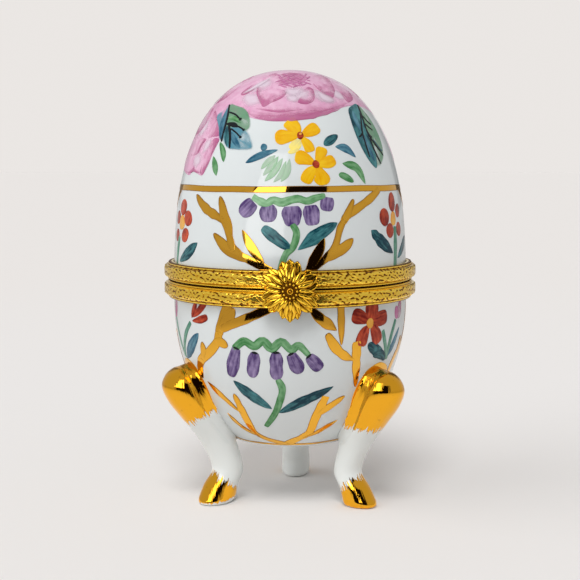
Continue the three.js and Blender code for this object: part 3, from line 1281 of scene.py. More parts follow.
@dataclass
class Hinge:
    """Five brass knuckles on a pin, with a strap on each side."""

    knuckles: tuple[str, ...] = (
        "base_knuckle_left", "lid_knuckle_left", "base_knuckle_centre",
        "lid_knuckle_right", "base_knuckle_right",
    )
    bore: float = 0.6
    edge: float = 0.18
    edge_share: float = 0.3
    strap_ease: float = 0.2
    strap_steps: int = 33
    segments: int = 48

    def round_ends(self, radius: float, half: float) -> list[Pair]:
        """Outer outline of a rod with eased ends.

        Args:
            radius: Radius of the rod.
            half: Half its length.

        Returns:
            Radius and length pairs.
        """
        part = self.edge_share * self.edge
        return [
            (radius - self.edge, -half), (radius - part, -half + part), (radius, -half + self.edge),
            (radius, half - self.edge), (radius - part, half - part), (radius - self.edge, half),
        ]

    def strap(self, body: str, material: Material) -> None:
        """Curved strap behind a band, with softened edges.

        Args:
            body: Body that carries it.
            material: Gilt brass.
        """
        node = f"{body}_hinge_leaf"
        low, high = box_of(node)
        angle = np.linspace(-1, 1, self.strap_steps) * math.asin(high.x / high.y)
        inner = float(low.y)
        outer = float(high.y)
        ease = self.strap_ease
        section = np.array([
            (inner, low.z), (outer - ease, low.z), (outer, low.z + ease),
            (outer, high.z - ease), (outer - ease, high.z), (inner, high.z),
        ])
        rows = np.stack([
            section[None, :, 0] * np.sin(angle)[:, None],
            section[None, :, 0] * np.cos(angle)[:, None],
            np.repeat(section[None, :, 1], len(angle), axis=0),
        ], axis=-1)
        draft = MeshDraft()
        draft.tube(rows, relief=np.ones(rows.shape[:2]))
        carry(draft.build(f"{body}_hinge_strap", material, crease=30), body, BRASS_SLOT, node)

    def build(self, material: Material) -> None:
        """Makes the knuckles, the pin and both straps.

        Args:
            material: Gilt brass.
        """
        for node in (*self.knuckles, "hinge_pin"):
            low, high = box_of(node)
            middle = np.array((low + high) / 2)
            half = float(high.x - low.x) / 2
            radius = float(high.z - low.z) / 2
            outer = self.round_ends(radius, half)
            if node == "hinge_pin":
                outline = np.array([(0.0, -half), *outer, (0.0, half)])
            else:
                outline = np.array([*outer, (self.bore, half), (self.bore, -half)])

            def lying(points: Array) -> Array:
                """Lays a body that was turned upright along X."""
                return points[:, [2, 0, 1]] + middle

            draft = MeshDraft()
            turned(draft, outline, self.segments, lying, 1.0)
            body = LID if node.startswith(LID) else BASE
            carry(draft.build(f"{node}_brass", material, crease=40), body, BRASS_SLOT, node)
        for body in (BASE, LID):
            self.strap(body, material)


def turned_copies_tree() -> bpy.types.NodeTree:
    """Geometry Nodes tree that sets copies of a piece evenly round the Z axis.

    Returns:
        The tree, with inputs for the piece, its count, first angle, spread of size, seed and material.
    """
    tree = bpy.data.node_groups.new("turned_copies", "GeometryNodeTree")
    kinds = {
        "Piece": "NodeSocketObject", "Count": "NodeSocketInt", "Start": "NodeSocketFloat",
        "Spread": "NodeSocketFloat", "Seed": "NodeSocketInt", "Material": "NodeSocketMaterial",
    }
    for label, kind in kinds.items():
        tree.interface.new_socket(label, in_out="INPUT", socket_type=kind)
    tree.interface.new_socket("Geometry", in_out="OUTPUT", socket_type="NodeSocketGeometry")
    sketch = NodeSketch(tree)
    source = sketch.add("NodeGroupInput").outputs
    points = sketch.add("GeometryNodePoints", {"Count": source["Count"]})
    piece = sketch.add("GeometryNodeObjectInfo", {"Object": source["Piece"]})
    index = sketch.add("GeometryNodeInputIndex").outputs[0]
    step = sketch.math("DIVIDE", 2 * math.pi, source["Count"])
    angle = sketch.math("MULTIPLY_ADD", index, step, source["Start"])
    turn = sketch.add("ShaderNodeCombineXYZ", {"Z": angle})
    smallest = sketch.math("SUBTRACT", 1.0, source["Spread"])
    largest = sketch.math("ADD", 1.0, source["Spread"])
    dice = sketch.add("FunctionNodeRandomValue", data_type="FLOAT")
    sketch.feed(dice.inputs[2], smallest)
    sketch.feed(dice.inputs[3], largest)
    sketch.feed(dice.inputs["Seed"], source["Seed"])
    copies = sketch.add("GeometryNodeInstanceOnPoints", {
        "Points": points.outputs[0], "Instance": piece.outputs["Geometry"],
        "Rotation": turn.outputs[0], "Scale": dice.outputs[1],
    })
    real = sketch.add("GeometryNodeRealizeInstances", {0: copies.outputs[0]})
    look = {"Geometry": real.outputs[0], "Material": source["Material"]}
    dressed = sketch.add("GeometryNodeSetMaterial", look)
    sketch.add("NodeGroupOutput", {0: dressed.outputs[0]})
    return tree


class TurnedCopies:
    """Makes rings of copies with one Geometry Nodes tree."""

    def __init__(self, material: Material) -> None:
        """Uses one material for every ring.

        Args:
            material: Material of the copies.
        """
        self.tree = turned_copies_tree()
        self.material = material
        items = self.tree.interface.items_tree
        self.sockets = {item.name: item.identifier for item in items if item.in_out == "INPUT"}

    def ring(self, piece: MeshDraft, count: int, start: float, spread: float, seed: int) -> bpy.types.Mesh:
        """Makes one ring as a plain mesh.

        Args:
            piece: Piece that is copied.
            count: Number of copies.
            start: Angle of the first copy, in degrees.
            spread: Spread of their size.
            seed: Seed of that spread.

        Returns:
            A new mesh with all copies.
        """
        pattern = piece.build("copied_piece", self.material)
        host = add_object("ring_host", bpy.data.meshes.new("ring_host"))
        modifier = host.modifiers.new("turned_copies", "NODES")
        modifier.node_group = self.tree
        values = {
            "Piece": pattern, "Count": count, "Start": math.radians(start),
            "Spread": spread, "Seed": seed, "Material": self.material,
        }
        for label, value in values.items():
            modifier[self.sockets[label]] = value
        graph = bpy.context.evaluated_depsgraph_get()
        mesh = bpy.data.meshes.new_from_object(host.evaluated_get(graph), depsgraph=graph)
        for spare in (host, pattern):
            bpy.data.objects.remove(spare)
        return mesh


class PetalForm(Enum):
    """Cross-sections of a cast petal, as height and tone at seven places from edge to edge; the tone is
    painted light, bright on the raised places and dark between them.
    """

    EDGED = ((0.0, 0.32, 0.06, 0.26, 0.06, 0.32, 0.0), (0.1, 1.0, 0.2, 0.9, 0.2, 1.0, 0.1))
    RIDGED = ((0.0, 0.16, 0.26, 0.3, 0.26, 0.16, 0.0), (0.0, 0.45, 0.95, 1.0, 0.95, 0.45, 0.0))


@dataclass(frozen=True)
class PetalRing:
    """One ring of petals on the clasp."""

    form: PetalForm
    count: int
    start: float
    root: float
    tip: float
    width: float
    lift: float
    curl: float
    spread: float = 0.0


@dataclass
class Clasp:
    """Cast flower with a beaded heart, on a springy tongue, and the stud behind it."""

    split: float
    rings: tuple[PetalRing, ...] = (
        PetalRing(PetalForm.EDGED, 12, 75.0, 1.9, 6.4, 1.45, -0.16, 0.05, 0.03),
        PetalRing(PetalForm.EDGED, 6, 90.0, 1.9, 6.8, 1.5, 0.0, 0.10),
        PetalRing(PetalForm.EDGED, 12, 82.0, 1.9, 5.8, 0.85, 0.15, 0.14, 0.05),
        PetalRing(PetalForm.RIDGED, 18, 80.0, 1.9, 5.0, 0.48, 0.30, 0.18, 0.08),
        PetalRing(PetalForm.RIDGED, 16, 92.0, 1.8, 4.0, 0.43, 0.46, 0.20, 0.10),
    )
    droop: float = 0.4
    back_offset: float = 0.35
    heart_radius: float = 1.95
    heart_height: float = 1.06
    bead_ring: float = 1.5
    bead: float = 0.27
    middle_bead: float = 0.26
    boss: float = 0.74
    bead_count: int = 12
    bead_rise: float = 0.56
    bead_start: float = 90.0
    bead_seed: int = 7
    # Form of one petal, along it and across it
    petal_steps: int = 10
    petal_across: tuple[float, ...] = (-1.0, -0.72, -0.36, 0.0, 0.36, 0.72, 1.0)
    root_width: float = 0.15
    root_power: float = 0.6
    tip_power: float = 0.72
    tip_width: float = 0.02
    tip_thinning: float = 0.55
    petal_thickness: float = 0.3
    root_shade: float = 0.15
    shaded_root: float = 0.4
    tongue_edge: float = 0.1
    tongue_segments: int = 72
    stud_segments: int = 32
    stud_steps: int = 8
    heart_segments: int = 40
    ball_steps: int = 7
    ball_segments: int = 10
    ball_tone: float = 0.45
    ball_shading: float = 0.8

    def petal(self, ring: PetalRing) -> MeshDraft:
        """One pointed petal along +X, facing +Z.

        Args:
            ring: Ring that it belongs to.

        Returns:
            Draft of the petal.
        """
        share = np.linspace(0, 1, self.petal_steps)[:, None]
        across = np.array(self.petal_across)[None, :]
        heights, tones = (np.array(row)[None, :] for row in ring.form.value)
        along = ring.root + (ring.tip - ring.root) * share
        shape = (share + self.root_width) ** self.root_power * np.clip(1 - share, 0, 1) ** self.tip_power
        width = ring.width * shape / shape.max() + self.tip_width
        bend = ring.curl * np.sin(0.9 * np.pi * share) - self.droop * share**2
        rise = ring.lift + bend + heights * (1 - self.tip_thinning * share)
        top = np.stack([np.broadcast_to(along, rise.shape), width * across, rise], axis=-1)
        under = top[:, [-1, 0]].copy()
        under[..., 2] = ring.lift - self.petal_thickness - self.droop * share**2
        # Painted shade: each petal darkens towards its root, where it goes under the others
        ramp = self.root_shade + (1 - self.root_shade) * smooth_step(share, 0.0, self.shaded_root)
        tone = np.concatenate([tones * ramp, np.zeros((self.petal_steps, 2))], axis=1)
        draft = MeshDraft()
        draft.tube(np.concatenate([top, under], axis=1), relief=tone)
        return draft

    def ball(self, centre: tuple[float, float, float], radius: float) -> MeshDraft:
        """A small round bead.

        Args:
            centre: Middle of the bead.
            radius: Its radius.

        Returns:
            Draft of the bead.
        """
        turn = np.linspace(-np.pi / 2, np.pi / 2, self.ball_steps)
        outline = np.stack([radius * np.cos(turn), radius * np.sin(turn)], axis=-1)
        outline[[0, -1], 0] = 0.0
        flat = MeshDraft()
        turned(flat, outline, self.ball_segments)
        draft = MeshDraft()
        # Painted highlight and shade: each bead is lighter on its outer face and darker where it sits on the
        # heart
        tone = np.clip(self.ball_tone + self.ball_shading * flat.points[0][:, 2] / radius, 0, 1)
        draft.add(flat.points[0] + np.array(centre), flat.faces, relief=tone)
        return draft

    def heart(self) -> MeshDraft:
        """Dished heart of the flower with a raised ring.

        Returns:
            Draft of the heart.
        """
        rim = self.heart_radius
        boss = self.boss
        outline = np.array([
            (0.0, -0.6), (rim, -0.6), (rim, 0.5), (rim - 0.15, 0.58), (1.7, 0.46), (boss + 0.06, 0.46),
            (boss, 0.9), (boss - 0.1, self.heart_height), (boss - 0.26, 0.98), (boss - 0.34, 0.66),
            (0.0, 0.6),
        ])
        draft = MeshDraft()
        turned(draft, outline, self.heart_segments)
        reach = np.hypot(draft.points[0][:, 0], draft.points[0][:, 1])
        # Painted highlight and shade: the raised ring is bright and the dished rest of the heart dark
        tone = np.where(np.abs(reach - boss + 0.15) < 0.17, 0.95, 0.0)
        draft.values["relief"] = [tone]
        return draft

    def build(self, material: Material) -> None:
        """Makes the flower, its beaded heart, the tongue and the stud.

        Args:
            material: Cast brass.
        """
        back = -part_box("clasp_rosette")[1].y / MM + self.back_offset
        front = -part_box("clasp_boss")[0].y / MM
        copies = TurnedCopies(material)

        def facing(points: Array) -> Array:
            """Stands a flower that faces +Z in front of the mounts."""
            return np.stack([points[:, 0], -points[:, 2] - back, points[:, 1] + self.split], axis=-1)

        flower = MeshDraft()
        for number, ring in enumerate(self.rings):
            mesh = copies.ring(self.petal(ring), ring.count, ring.start, ring.spread, number)
            flower.add_mesh(mesh, facing, "relief")
        carry(flower.build("clasp_flower", material, crease=60), LID, BRASS_SLOT, "clasp_rosette")

        heart = MeshDraft()
        lift = front - back - self.heart_height
        centre = self.heart()
        raised = centre.points[0] + np.array([0.0, 0.0, lift])
        heart.add(facing(raised), centre.faces, relief=centre.values["relief"][0])
        beads = ((self.bead_ring, self.bead_count, self.bead), (0.0, 1, self.middle_bead))
        for radius, count, size in beads:
            bead = self.ball((radius, 0.0, lift + self.bead_rise), size)
            mesh = copies.ring(bead, count, self.bead_start, 0.0, self.bead_seed)
            heart.add_mesh(mesh, facing, "relief")
        carry(heart.build("clasp_heart", material, crease=50), LID, BRASS_SLOT, "clasp_boss")
        self.tongue(material)
        self.stud(material)

    def tongue(self, material: Material) -> None:
        """Upright tongue with round ends and eased edges.

        Args:
            material: Cast brass.
        """
        low, high = box_of("clasp_plate")
        half = float(high.x)
        straight = float(high.z - low.z) / 2 - half
        angle = np.linspace(0, 2 * np.pi, self.tongue_segments, endpoint=False)
        lift = np.where(np.sin(angle) >= 0, straight, -straight)
        edge = self.tongue_edge
        rows = []
        for y, ease in ((high.y, edge), (high.y - edge, 0.0), (low.y + edge, 0.0), (low.y, edge)):
            radius = half - ease
            rise = self.split + radius * np.sin(angle) + lift
            rows.append(np.stack([radius * np.cos(angle), np.full(len(angle), float(y)), rise], axis=-1))
        draft = MeshDraft()
        draft.tube(np.array(rows), relief=np.ones((len(rows), len(angle))))
        carry(draft.build("clasp_tongue", material, crease=40), LID, BRASS_SLOT, "clasp_plate")

    def stud(self, material: Material) -> None:
        """Small domed bump behind the tongue.

        Args:
            material: Cast brass.
        """
        low, high = box_of("catch_stud")
        radius = float(high.x)
        depth = float(high.y - low.y)
        turn = np.linspace(0, np.pi / 2, self.stud_steps)
        outline = np.vstack([[[0.0, 0.0]], np.stack([radius * np.cos(turn), depth * np.sin(turn)], axis=-1)])
        outline[-1, 0] = 0.0
        middle = float(low.z + high.z) / 2

        def facing(points: Array) -> Array:
            """Turns an upright bump to the front."""
            return np.stack([points[:, 0], float(high.y) - points[:, 2], points[:, 1] + middle], axis=-1)

        draft = MeshDraft()
        turned(draft, outline, self.stud_segments, facing, 1.0)
        carry(draft.build("catch_stud_brass", material, crease=50), BASE, BRASS_SLOT, "catch_stud")


# Painting


class Brush(Enum):
    """Shapes of a brush mark: how sharp its start and its end are, and how blunt it starts."""

    DAB = (0.5, 0.5, 0.0)
    LEAF = (0.75, 0.8, 0.0)
    PETAL = (0.62, 0.3, 0.0)
    BELL = (0.5, 0.34, 0.14)
    CUP = (0.3, 0.3, 0.06)
    BUD = (0.6, 0.5, 0.1)
    LINE = (0.1, 0.14, 0.0)
    STEM = (0.06, 0.06, 0.0)
    TWIG = (0.12, 0.42, 0.0)


class Edge(Enum):
    """Where the paint of a mark lies strongest, seen along the brush's way."""

    EVEN = "even"
    LEFT = "left"
    RIGHT = "right"
    MIDDLE = "middle"

    def flipped(self) -> "Edge":
        """The same in a mirror."""
        return {Edge.LEFT: Edge.RIGHT, Edge.RIGHT: Edge.LEFT}.get(self, self)


@dataclass(frozen=True)
class Mark:
    """One brush mark: its colour, full width, shape and spots, then its layer, strongest edge and load."""

    paint: Paint
    width: float
    brush: Brush
    spots: tuple[Spot, ...]
    layer: int = 1
    edge: Edge = Edge.EVEN
    load: float | None = None


@dataclass(frozen=True)
class Blot:
    """One filled shape: its colour, edge spots and layer, how far its edge fades, and a pale heart."""

    paint: Paint
    spots: tuple[Spot, ...]
    layer: int = 0
    soft: float = 0.0
    heart: Spot | None = None


TURN_PER_MM = 2.18
CAP_REACH = 0.24
CAP_WIDTH = 0.2


def stroke(
    brush: Brush, paint: Paint, width: float, *spots: Spot, layer: int = 1, load: float | None = None
) -> Mark:
    """A plain mark of one brush."""
    return Mark(paint, width, brush, spots, layer, load=load)


# Line of even width, leaf with two points, rounded dab, and petal with a pointed start and a round end
line = partial(stroke, Brush.LINE)
leaf = partial(stroke, Brush.LEAF)
dab = partial(stroke, Brush.DAB)
petal = partial(stroke, Brush.PETAL)

# Gold branch of even width, twig that tapers to its tip, and shoot that swells and closes to a point
stem = partial(stroke, Brush.STEM, Paint.GOLD)
twig = partial(stroke, Brush.TWIG, Paint.GOLD)
bud = partial(stroke, Brush.BUD, Paint.GOLD)

# Dark vein and gold leaf
vein = partial(stroke, Brush.LINE, Paint.INK, layer=6)
gold_leaf = partial(stroke, Brush.LEAF, Paint.GOLD)


def fold(width: float, edge: Edge, *spots: Spot, layer: int = 2) -> Mark:
    """A rose stroke on a peony petal that fades away from its strong edge."""
    return Mark(Paint.ROSE, width, Brush.LEAF, spots, layer, edge)


def glow(paint: Paint, width: float, *spots: Spot, layer: int = 1) -> Mark:
    """A soft patch that fades all round."""
    return Mark(paint, width, Brush.DAB, spots, layer, Edge.MIDDLE)


def bell(width: float, top: Spot, tip: Spot) -> list[Mark]:
    """A hanging bell with a flat dark cap across its top.

    Args:
        width: Full width.
        top: Where it hangs.
        tip: Its lower end.

    Returns:
        The bell and its cap.
    """
    run = (tip[0] - top[0]) / TURN_PER_MM
    drop = tip[1] - top[1]
    reach = CAP_REACH * width / math.hypot(run, drop)
    aside = (reach * drop * TURN_PER_MM, -reach * run)
    left = (top[0] - aside[0], top[1] - aside[1])
    right = (top[0] + aside[0], top[1] + aside[1])
    return [
        Mark(Paint.PURPLE, width, Brush.BELL, (top, tip)),
        Mark(Paint.INK, CAP_WIDTH * width, Brush.DAB, (left, right), 2),
    ]


def cup(width: float, top: Spot, tip: Spot) -> Mark:
    """A hanging bell without a cap, rounded at both ends."""
    return Mark(Paint.PURPLE, width, Brush.CUP, (top, tip), 0)


LID_BELLFLOWER: list[Mark] = [
    line(
        Paint.GREEN, 1.7, (-18, 71.6), (-14.5, 70.7), (-11, 70.2), (-8, 70.9), (-4, 70.4),
        (0, 70.9), (4, 71.2), (8, 70.7), (12, 71.3), (17, 71.9), load=0.36,
    ),
    cup(3.7, (-17.4, 70.5), (-23.6, 67.6)),
    cup(3.8, (-10.3, 69.9), (-10.1, 66.2)),
    cup(4.5, (0.6, 69.6), (1.2, 65.3)),
    cup(3.9, (9.6, 69.8), (10.6, 65.5)),
    cup(3.4, (18.2, 71.5), (17.2, 68.5)),
    line(Paint.GREEN, 1.5, (1, 65.8), (3, 63.9), (1.5, 61.1), (-2, 59.3), (-5, 55.4)),
    petal(Paint.TEAL, 2.6, (1, 60.2), (-6, 62.6), (-12.8, 65.1)),
    leaf(Paint.TEAL, 2.8, (22.5, 66.0), (13, 63.5), (3.5, 60.3)),
    gold_leaf(2.1, (-22.6, 64.5), (-19.3, 61.8), (-15.5, 59.2), (-11.2, 56.3)),
    gold_leaf(2.3, (16.0, 62.8), (13.5, 60.2), (10.4, 57.8), (7, 55.6)),
]
LID_TWIGS: list[Mark] = [
    stem(1.8, (-8, 55.7), (-12, 56.6), (-16.5, 57.5), (-21.3, 58.6), (-25.4, 59.8), (-28.2, 61.4)),
    bud(2.4, (-27.3, 59.9), (-29.1, 62.8), (-30.3, 65.1), (-32.5, 67.2), (-34, 69.3), (-36, 71.6)),
    bud(2.2, (-30.6, 65.8), (-37.3, 67.3), (-43.2, 68.5), (-48.7, 70.1), (-53, 71.8)),
    bud(2.5, (-19.6, 58.1), (-25.3, 59.1), (-30.4, 60.3), (-34.2, 61.8), (-38.4, 63.5)),
    stem(1.7, (7.5, 55.7), (14.1, 57.5), (17.6, 58.9), (20.8, 60.6), (22.5, 62.8), (23.9, 64.9), (26.8, 67)),
    stem(1.9, (25.4, 66.0), (27.6, 67.4), (31.8, 68.5), (37.7, 69.9), (44, 71.4), (49.7, 73)),
    twig(1.8, (26.5, 66.6), (29.6, 69), (31.9, 71)),
    bud(2.3, (15.5, 58.1), (21.5, 59.6), (25.9, 60.7), (30.6, 62.5)),
]
LID_RIGHT_BLOSSOM: list[Mark] = [
    dab(Paint.RED, 3.1, (61.6, 72.2), (59.8, 67.9)),
    dab(Paint.RED, 3.6, (51.8, 68.8), (52.4, 64.8)),
    dab(Paint.RED, 2.5, (68.4, 69.5), (65.2, 66.6)),
    dab(Paint.RED, 3.0, (57, 65.4), (55.9, 62.1)),
    dab(Paint.RED, 2.8, (65.8, 65.5), (67, 62.3)),
    dab(Paint.AMBER, 2.6, (61, 67.9), (59.9, 64.8), layer=2),
    line(Paint.STEM, 1.7, (61.8, 64.6), (61.4, 60.4), (60.4, 55)),
    leaf(Paint.TEAL, 3.0, (41.6, 64.1), (48.6, 61.5), (58.4, 58.7), load=0.95),
    leaf(Paint.TEAL, 2.4, (79, 62), (72, 59.8), (63.6, 57.4)),
]
LID_LEFT_BLOSSOM: list[Mark] = [
    dab(Paint.RED, 3.8, (-66.6, 70.6), (-65.1, 67.0), load=0.36),
    dab(Paint.RED, 3.8, (-57.4, 67.9), (-61, 64.9), load=0.36),
    dab(Paint.RED, 3.7, (-63, 64.0), (-59.8, 61.2), load=0.36),
    dab(Paint.RED, 3.2, (-73.8, 67.8), (-71, 65)),
    dab(Paint.RED, 3.2, (-73, 63.8), (-71.6, 61)),
    dab(Paint.AMBER, 3.4, (-66.9, 67.0), (-65.3, 63.8), layer=2),
    line(Paint.STEM, 1.6, (-68.6, 62.2), (-70.9, 58.3), (-72, 55)),
    leaf(Paint.TEAL, 2.7, (-67, 56.6), (-57.1, 58.8), (-49.4, 61.2)),
]
BASE_BELLFLOWER: list[Mark] = [
    line(
        Paint.GREEN, 1.9, (-27.5, 38.4), (-22, 40.3), (-17, 39.3), (-12.6, 40.6), (-8.5, 38.9),
        (-4, 40.5), (0.5, 38.7), (4, 39.6), (9, 37.4), load=0.6,
    ),
    *bell(3.1, (-26.2, 38.6), (-31.4, 31.9)),
    *bell(2.9, (-16.8, 37.8), (-19.4, 32.1)),
    *bell(3.1, (-6.5, 38.0), (-6.7, 31.8)),
    *bell(3.0, (0.4, 37.7), (5.2, 33.3)),
    *bell(3.1, (8.9, 37.2), (15.2, 34.0)),
    line(Paint.GREEN, 1.6, (-6, 31.9), (-4, 29.5), (-6, 26.2), (-9.5, 23.2), (-16.5, 20)),
    leaf(Paint.TEAL, 2.6, (-10.5, 24.7), (-22, 28.0), (-30.4, 31.0)),
    leaf(Paint.TEAL, 2.8, (-6.5, 23.8), (7, 26.6), (23.2, 29.9), load=0.85),
]
BASE_TWIGS: list[Mark] = [
    stem(2.5, (-29, 49), (-30.5, 47.2), (-32.3, 45.3), (-34.2, 43.3), (-35.4, 41.4)),
    stem(2.1, (-8, 48.1), (-11, 47.4), (-16.2, 46.2), (-22.4, 44.9), (-28.3, 43.8), (-33.6, 42.6)),
    stem(2.2, (-35.4, 42), (-36.9, 39.6), (-43.2, 36.9), (-50, 35), (-53, 33.2), (-55, 30.6)),
    bud(2.8, (-34, 42.2), (-30.2, 45.0), (-26.4, 47.4)),
    dab(Paint.GOLD, 2.3, (-38, 40.2), (-33.9, 39.5), (-30.8, 38.8)),
    bud(2.0, (-49.6, 35), (-47.3, 37), (-47.2, 39.2)),
    gold_leaf(1.7, (-50, 29.8), (-45.4, 28.1), (-38.8, 25.8), (-31, 23)),
    bud(2.2, (-27.2, 17.6), (-29.3, 21.8), (-30.6, 24.9), (-32.1, 27.8)),
    stem(1.5, (-28.4, 19.4), (-26, 17.7), (-18.9, 16.4), (-5.7, 15.4), (-1, 14.9)),
    gold_leaf(1.5, (-43.2, 22.5), (-39.9, 20.6), (-34.2, 18.7), (-24, 17)),
    gold_leaf(2.6, (7.6, 48.6), (13.6, 45.6), (17.5, 44.2), (22, 42.7)),
    twig(1.8, (23.8, 49), (24.2, 44.2), (24.8, 39.4)),
    petal(Paint.GOLD, 2.4, (33.4, 35.6), (27.3, 36.8), (22, 38.8), (17.2, 42.1)),
    twig(2.4, (33.2, 39.9), (33.9, 36.7), (35.2, 33.2), (37.2, 29.2)),
    bud(1.9, (16.4, 22.9), (21.7, 24.5), (26.7, 25.9), (31.6, 27.3)),
    stem(2.1, (20, 27.6), (17.5, 24.6), (15.7, 21.6), (14, 18.4), (4, 16.3), (-6, 14.9)),
    gold_leaf(1.6, (32.6, 21.2), (26, 19.7), (19.4, 18.2), (10, 17)),
]
BASE_RIGHT_FLOWERS: list[Mark] = [
    petal(Paint.RED, 3.5, (40, 44.1), (34.8, 45.2), (29.8, 45.9)),
    petal(Paint.RED, 3.6, (41.6, 43.9), (47.1, 44.4), (52.9, 44.8)),
    petal(Paint.RED, 3.5, (39.6, 43.2), (36.9, 41.2), (35.4, 38.7), load=0.5),
    petal(Paint.RED, 3.7, (41.4, 43.2), (45.1, 41.1), (47.5, 38.8), load=0.5),
    petal(Paint.RED, 3.9, (41, 44.2), (41.6, 46), (42, 48.6)),
    dab(Paint.AMBER, 2.2, (40.1, 44.8), (41, 42.5), layer=2),
    dab(Paint.TEAL, 2.8, (40.4, 39.0), (46.7, 37.3), (55, 35)),
    dab(Paint.TEAL, 2.2, (45, 36.2), (51, 36.2), (56, 34.6), layer=2),
    dab(Paint.ROSE, 2.6, (65, 43.6), (67.5, 47.8)),
    dab(Paint.PINK, 2.2, (63.5, 43.6), (62, 46.6)),
    line(Paint.STEM, 1.3, (61.7, 43.6), (58.5, 39.8), (57.4, 36.1), (57.6, 34.6)),
    line(Paint.STEM, 1.1, (50.2, 41.7), (52.9, 39), (56.9, 35.6)),
    leaf(Paint.BLUE, 2.0, (67.5, 41.4), (62.4, 37.9), (57, 35)),
]
BASE_LEFT_FLOWERS: list[Mark] = [
    petal(Paint.RED, 1.8, (-53.6, 43.6), (-47.6, 44.1), (-42, 45.0)),
    petal(Paint.RED, 1.6, (-54, 44.3), (-52.4, 45.8), (-50.2, 47.8)),
    petal(Paint.RED, 1.6, (-52.6, 44.5), (-47.4, 46.4), (-42.6, 48.6)),
    line(Paint.STEM, 1.2, (-55.4, 43.2), (-61.8, 40.2), (-67, 36.7), (-68.6, 34.4)),
    leaf(Paint.BLUE, 2.8, (-49.4, 41), (-58, 37.4), (-66.6, 34.2)),
    dab(Paint.ROSE, 2.6, (-76, 43.2), (-73.5, 47.8)),
    line(Paint.STEM, 1.2, (-75.5, 43.4), (-72, 38.5), (-69, 34.6)),
]
DOME_SPRAY: list[Mark] = [
    petal(Paint.YELLOW, 3.4, (5.6, 84.8), (1.8, 86.7), (-1.6, 87.9)),
    petal(Paint.YELLOW, 3.2, (5.2, 84.6), (-3.1, 84.4), (-8.4, 84.2)),
    petal(Paint.YELLOW, 3.1, (6.2, 84.6), (11.9, 85.7), (16.7, 86.7)),
    petal(Paint.YELLOW, 2.5, (6.2, 84.4), (9.7, 82.6), (10.8, 81.1)),
    petal(Paint.PALE_YELLOW, 2.6, (5.4, 83.8), (3.4, 82.8), (1, 81.5), layer=0),
    dab(Paint.RED, 1.9, (3.9, 84.6), (7.6, 84.7), layer=2),
    dab(Paint.AMBER, 0.5, (5, 84.9), (6.6, 85.1), layer=3),
    petal(Paint.YELLOW, 2.9, (13, 78.6), (7, 79.8), (2.5, 80.2)),
    petal(Paint.YELLOW, 2.6, (13.3, 78.6), (16.2, 80.8), (17.4, 82.2)),
    petal(Paint.YELLOW, 2.8, (13.6, 78.4), (19.5, 78.9), (23.6, 79.7)),
    petal(Paint.YELLOW, 3.3, (13.4, 78.2), (15.6, 76.1), (16.1, 74)),
    petal(Paint.YELLOW, 3.0, (12.9, 78.2), (9.4, 76.4), (7.2, 74.5)),
    dab(Paint.RED, 1.8, (11.4, 78.3), (15, 78.7), layer=2),
    dab(Paint.PALE_YELLOW, 1.1, (-1, 81.0), (4.8, 81.7)),
    dab(Paint.BLUE, 1.6, (-15.8, 82.1), (-12.2, 82.2)),
    leaf(Paint.BLUE, 1.6, (-23.2, 78.8), (-15.5, 80.4), (-6.4, 81.6)),
    leaf(Paint.PALE_GREEN, 1.3, (-14.6, 77.5), (-11, 79.2), (-7.6, 80.4)),
    leaf(Paint.PALE_GREEN, 1.3, (-13.4, 76.1), (-9, 78.3), (-6, 80.2)),
    leaf(Paint.PALE_GREEN, 1.4, (-12.4, 74.9), (-7.6, 77), (-3.8, 79.8)),
    leaf(Paint.PALE_GREEN, 1.2, (-8, 74.7), (-4.4, 76.4), (-2, 79.2)),
    leaf(Paint.PALE_GREEN, 1.3, (-4.4, 74.8), (-1.4, 76.8), (-0.2, 79.7)),
    dab(Paint.TEAL, 1.8, (18.6, 82.6), (23.2, 83.8), (27.8, 84.8)),
    leaf(Paint.BLUE, 1.8, (25, 82.3), (31.3, 81.9), (36.8, 80)),
    leaf(Paint.GREEN, 2.0, (27.8, 78.7), (36.1, 77.7), (40.4, 74.2)),
    dab(Paint.GREEN, 1.7, (25, 76.4), (28.7, 75.8), (33, 74.7)),
    leaf(Paint.GREEN, 1.5, (-42.4, 83.3), (-38.4, 81.2), (-36.6, 79)),
    leaf(Paint.GREEN, 1.5, (-44.8, 80.2), (-42, 78), (-40, 76)),
]
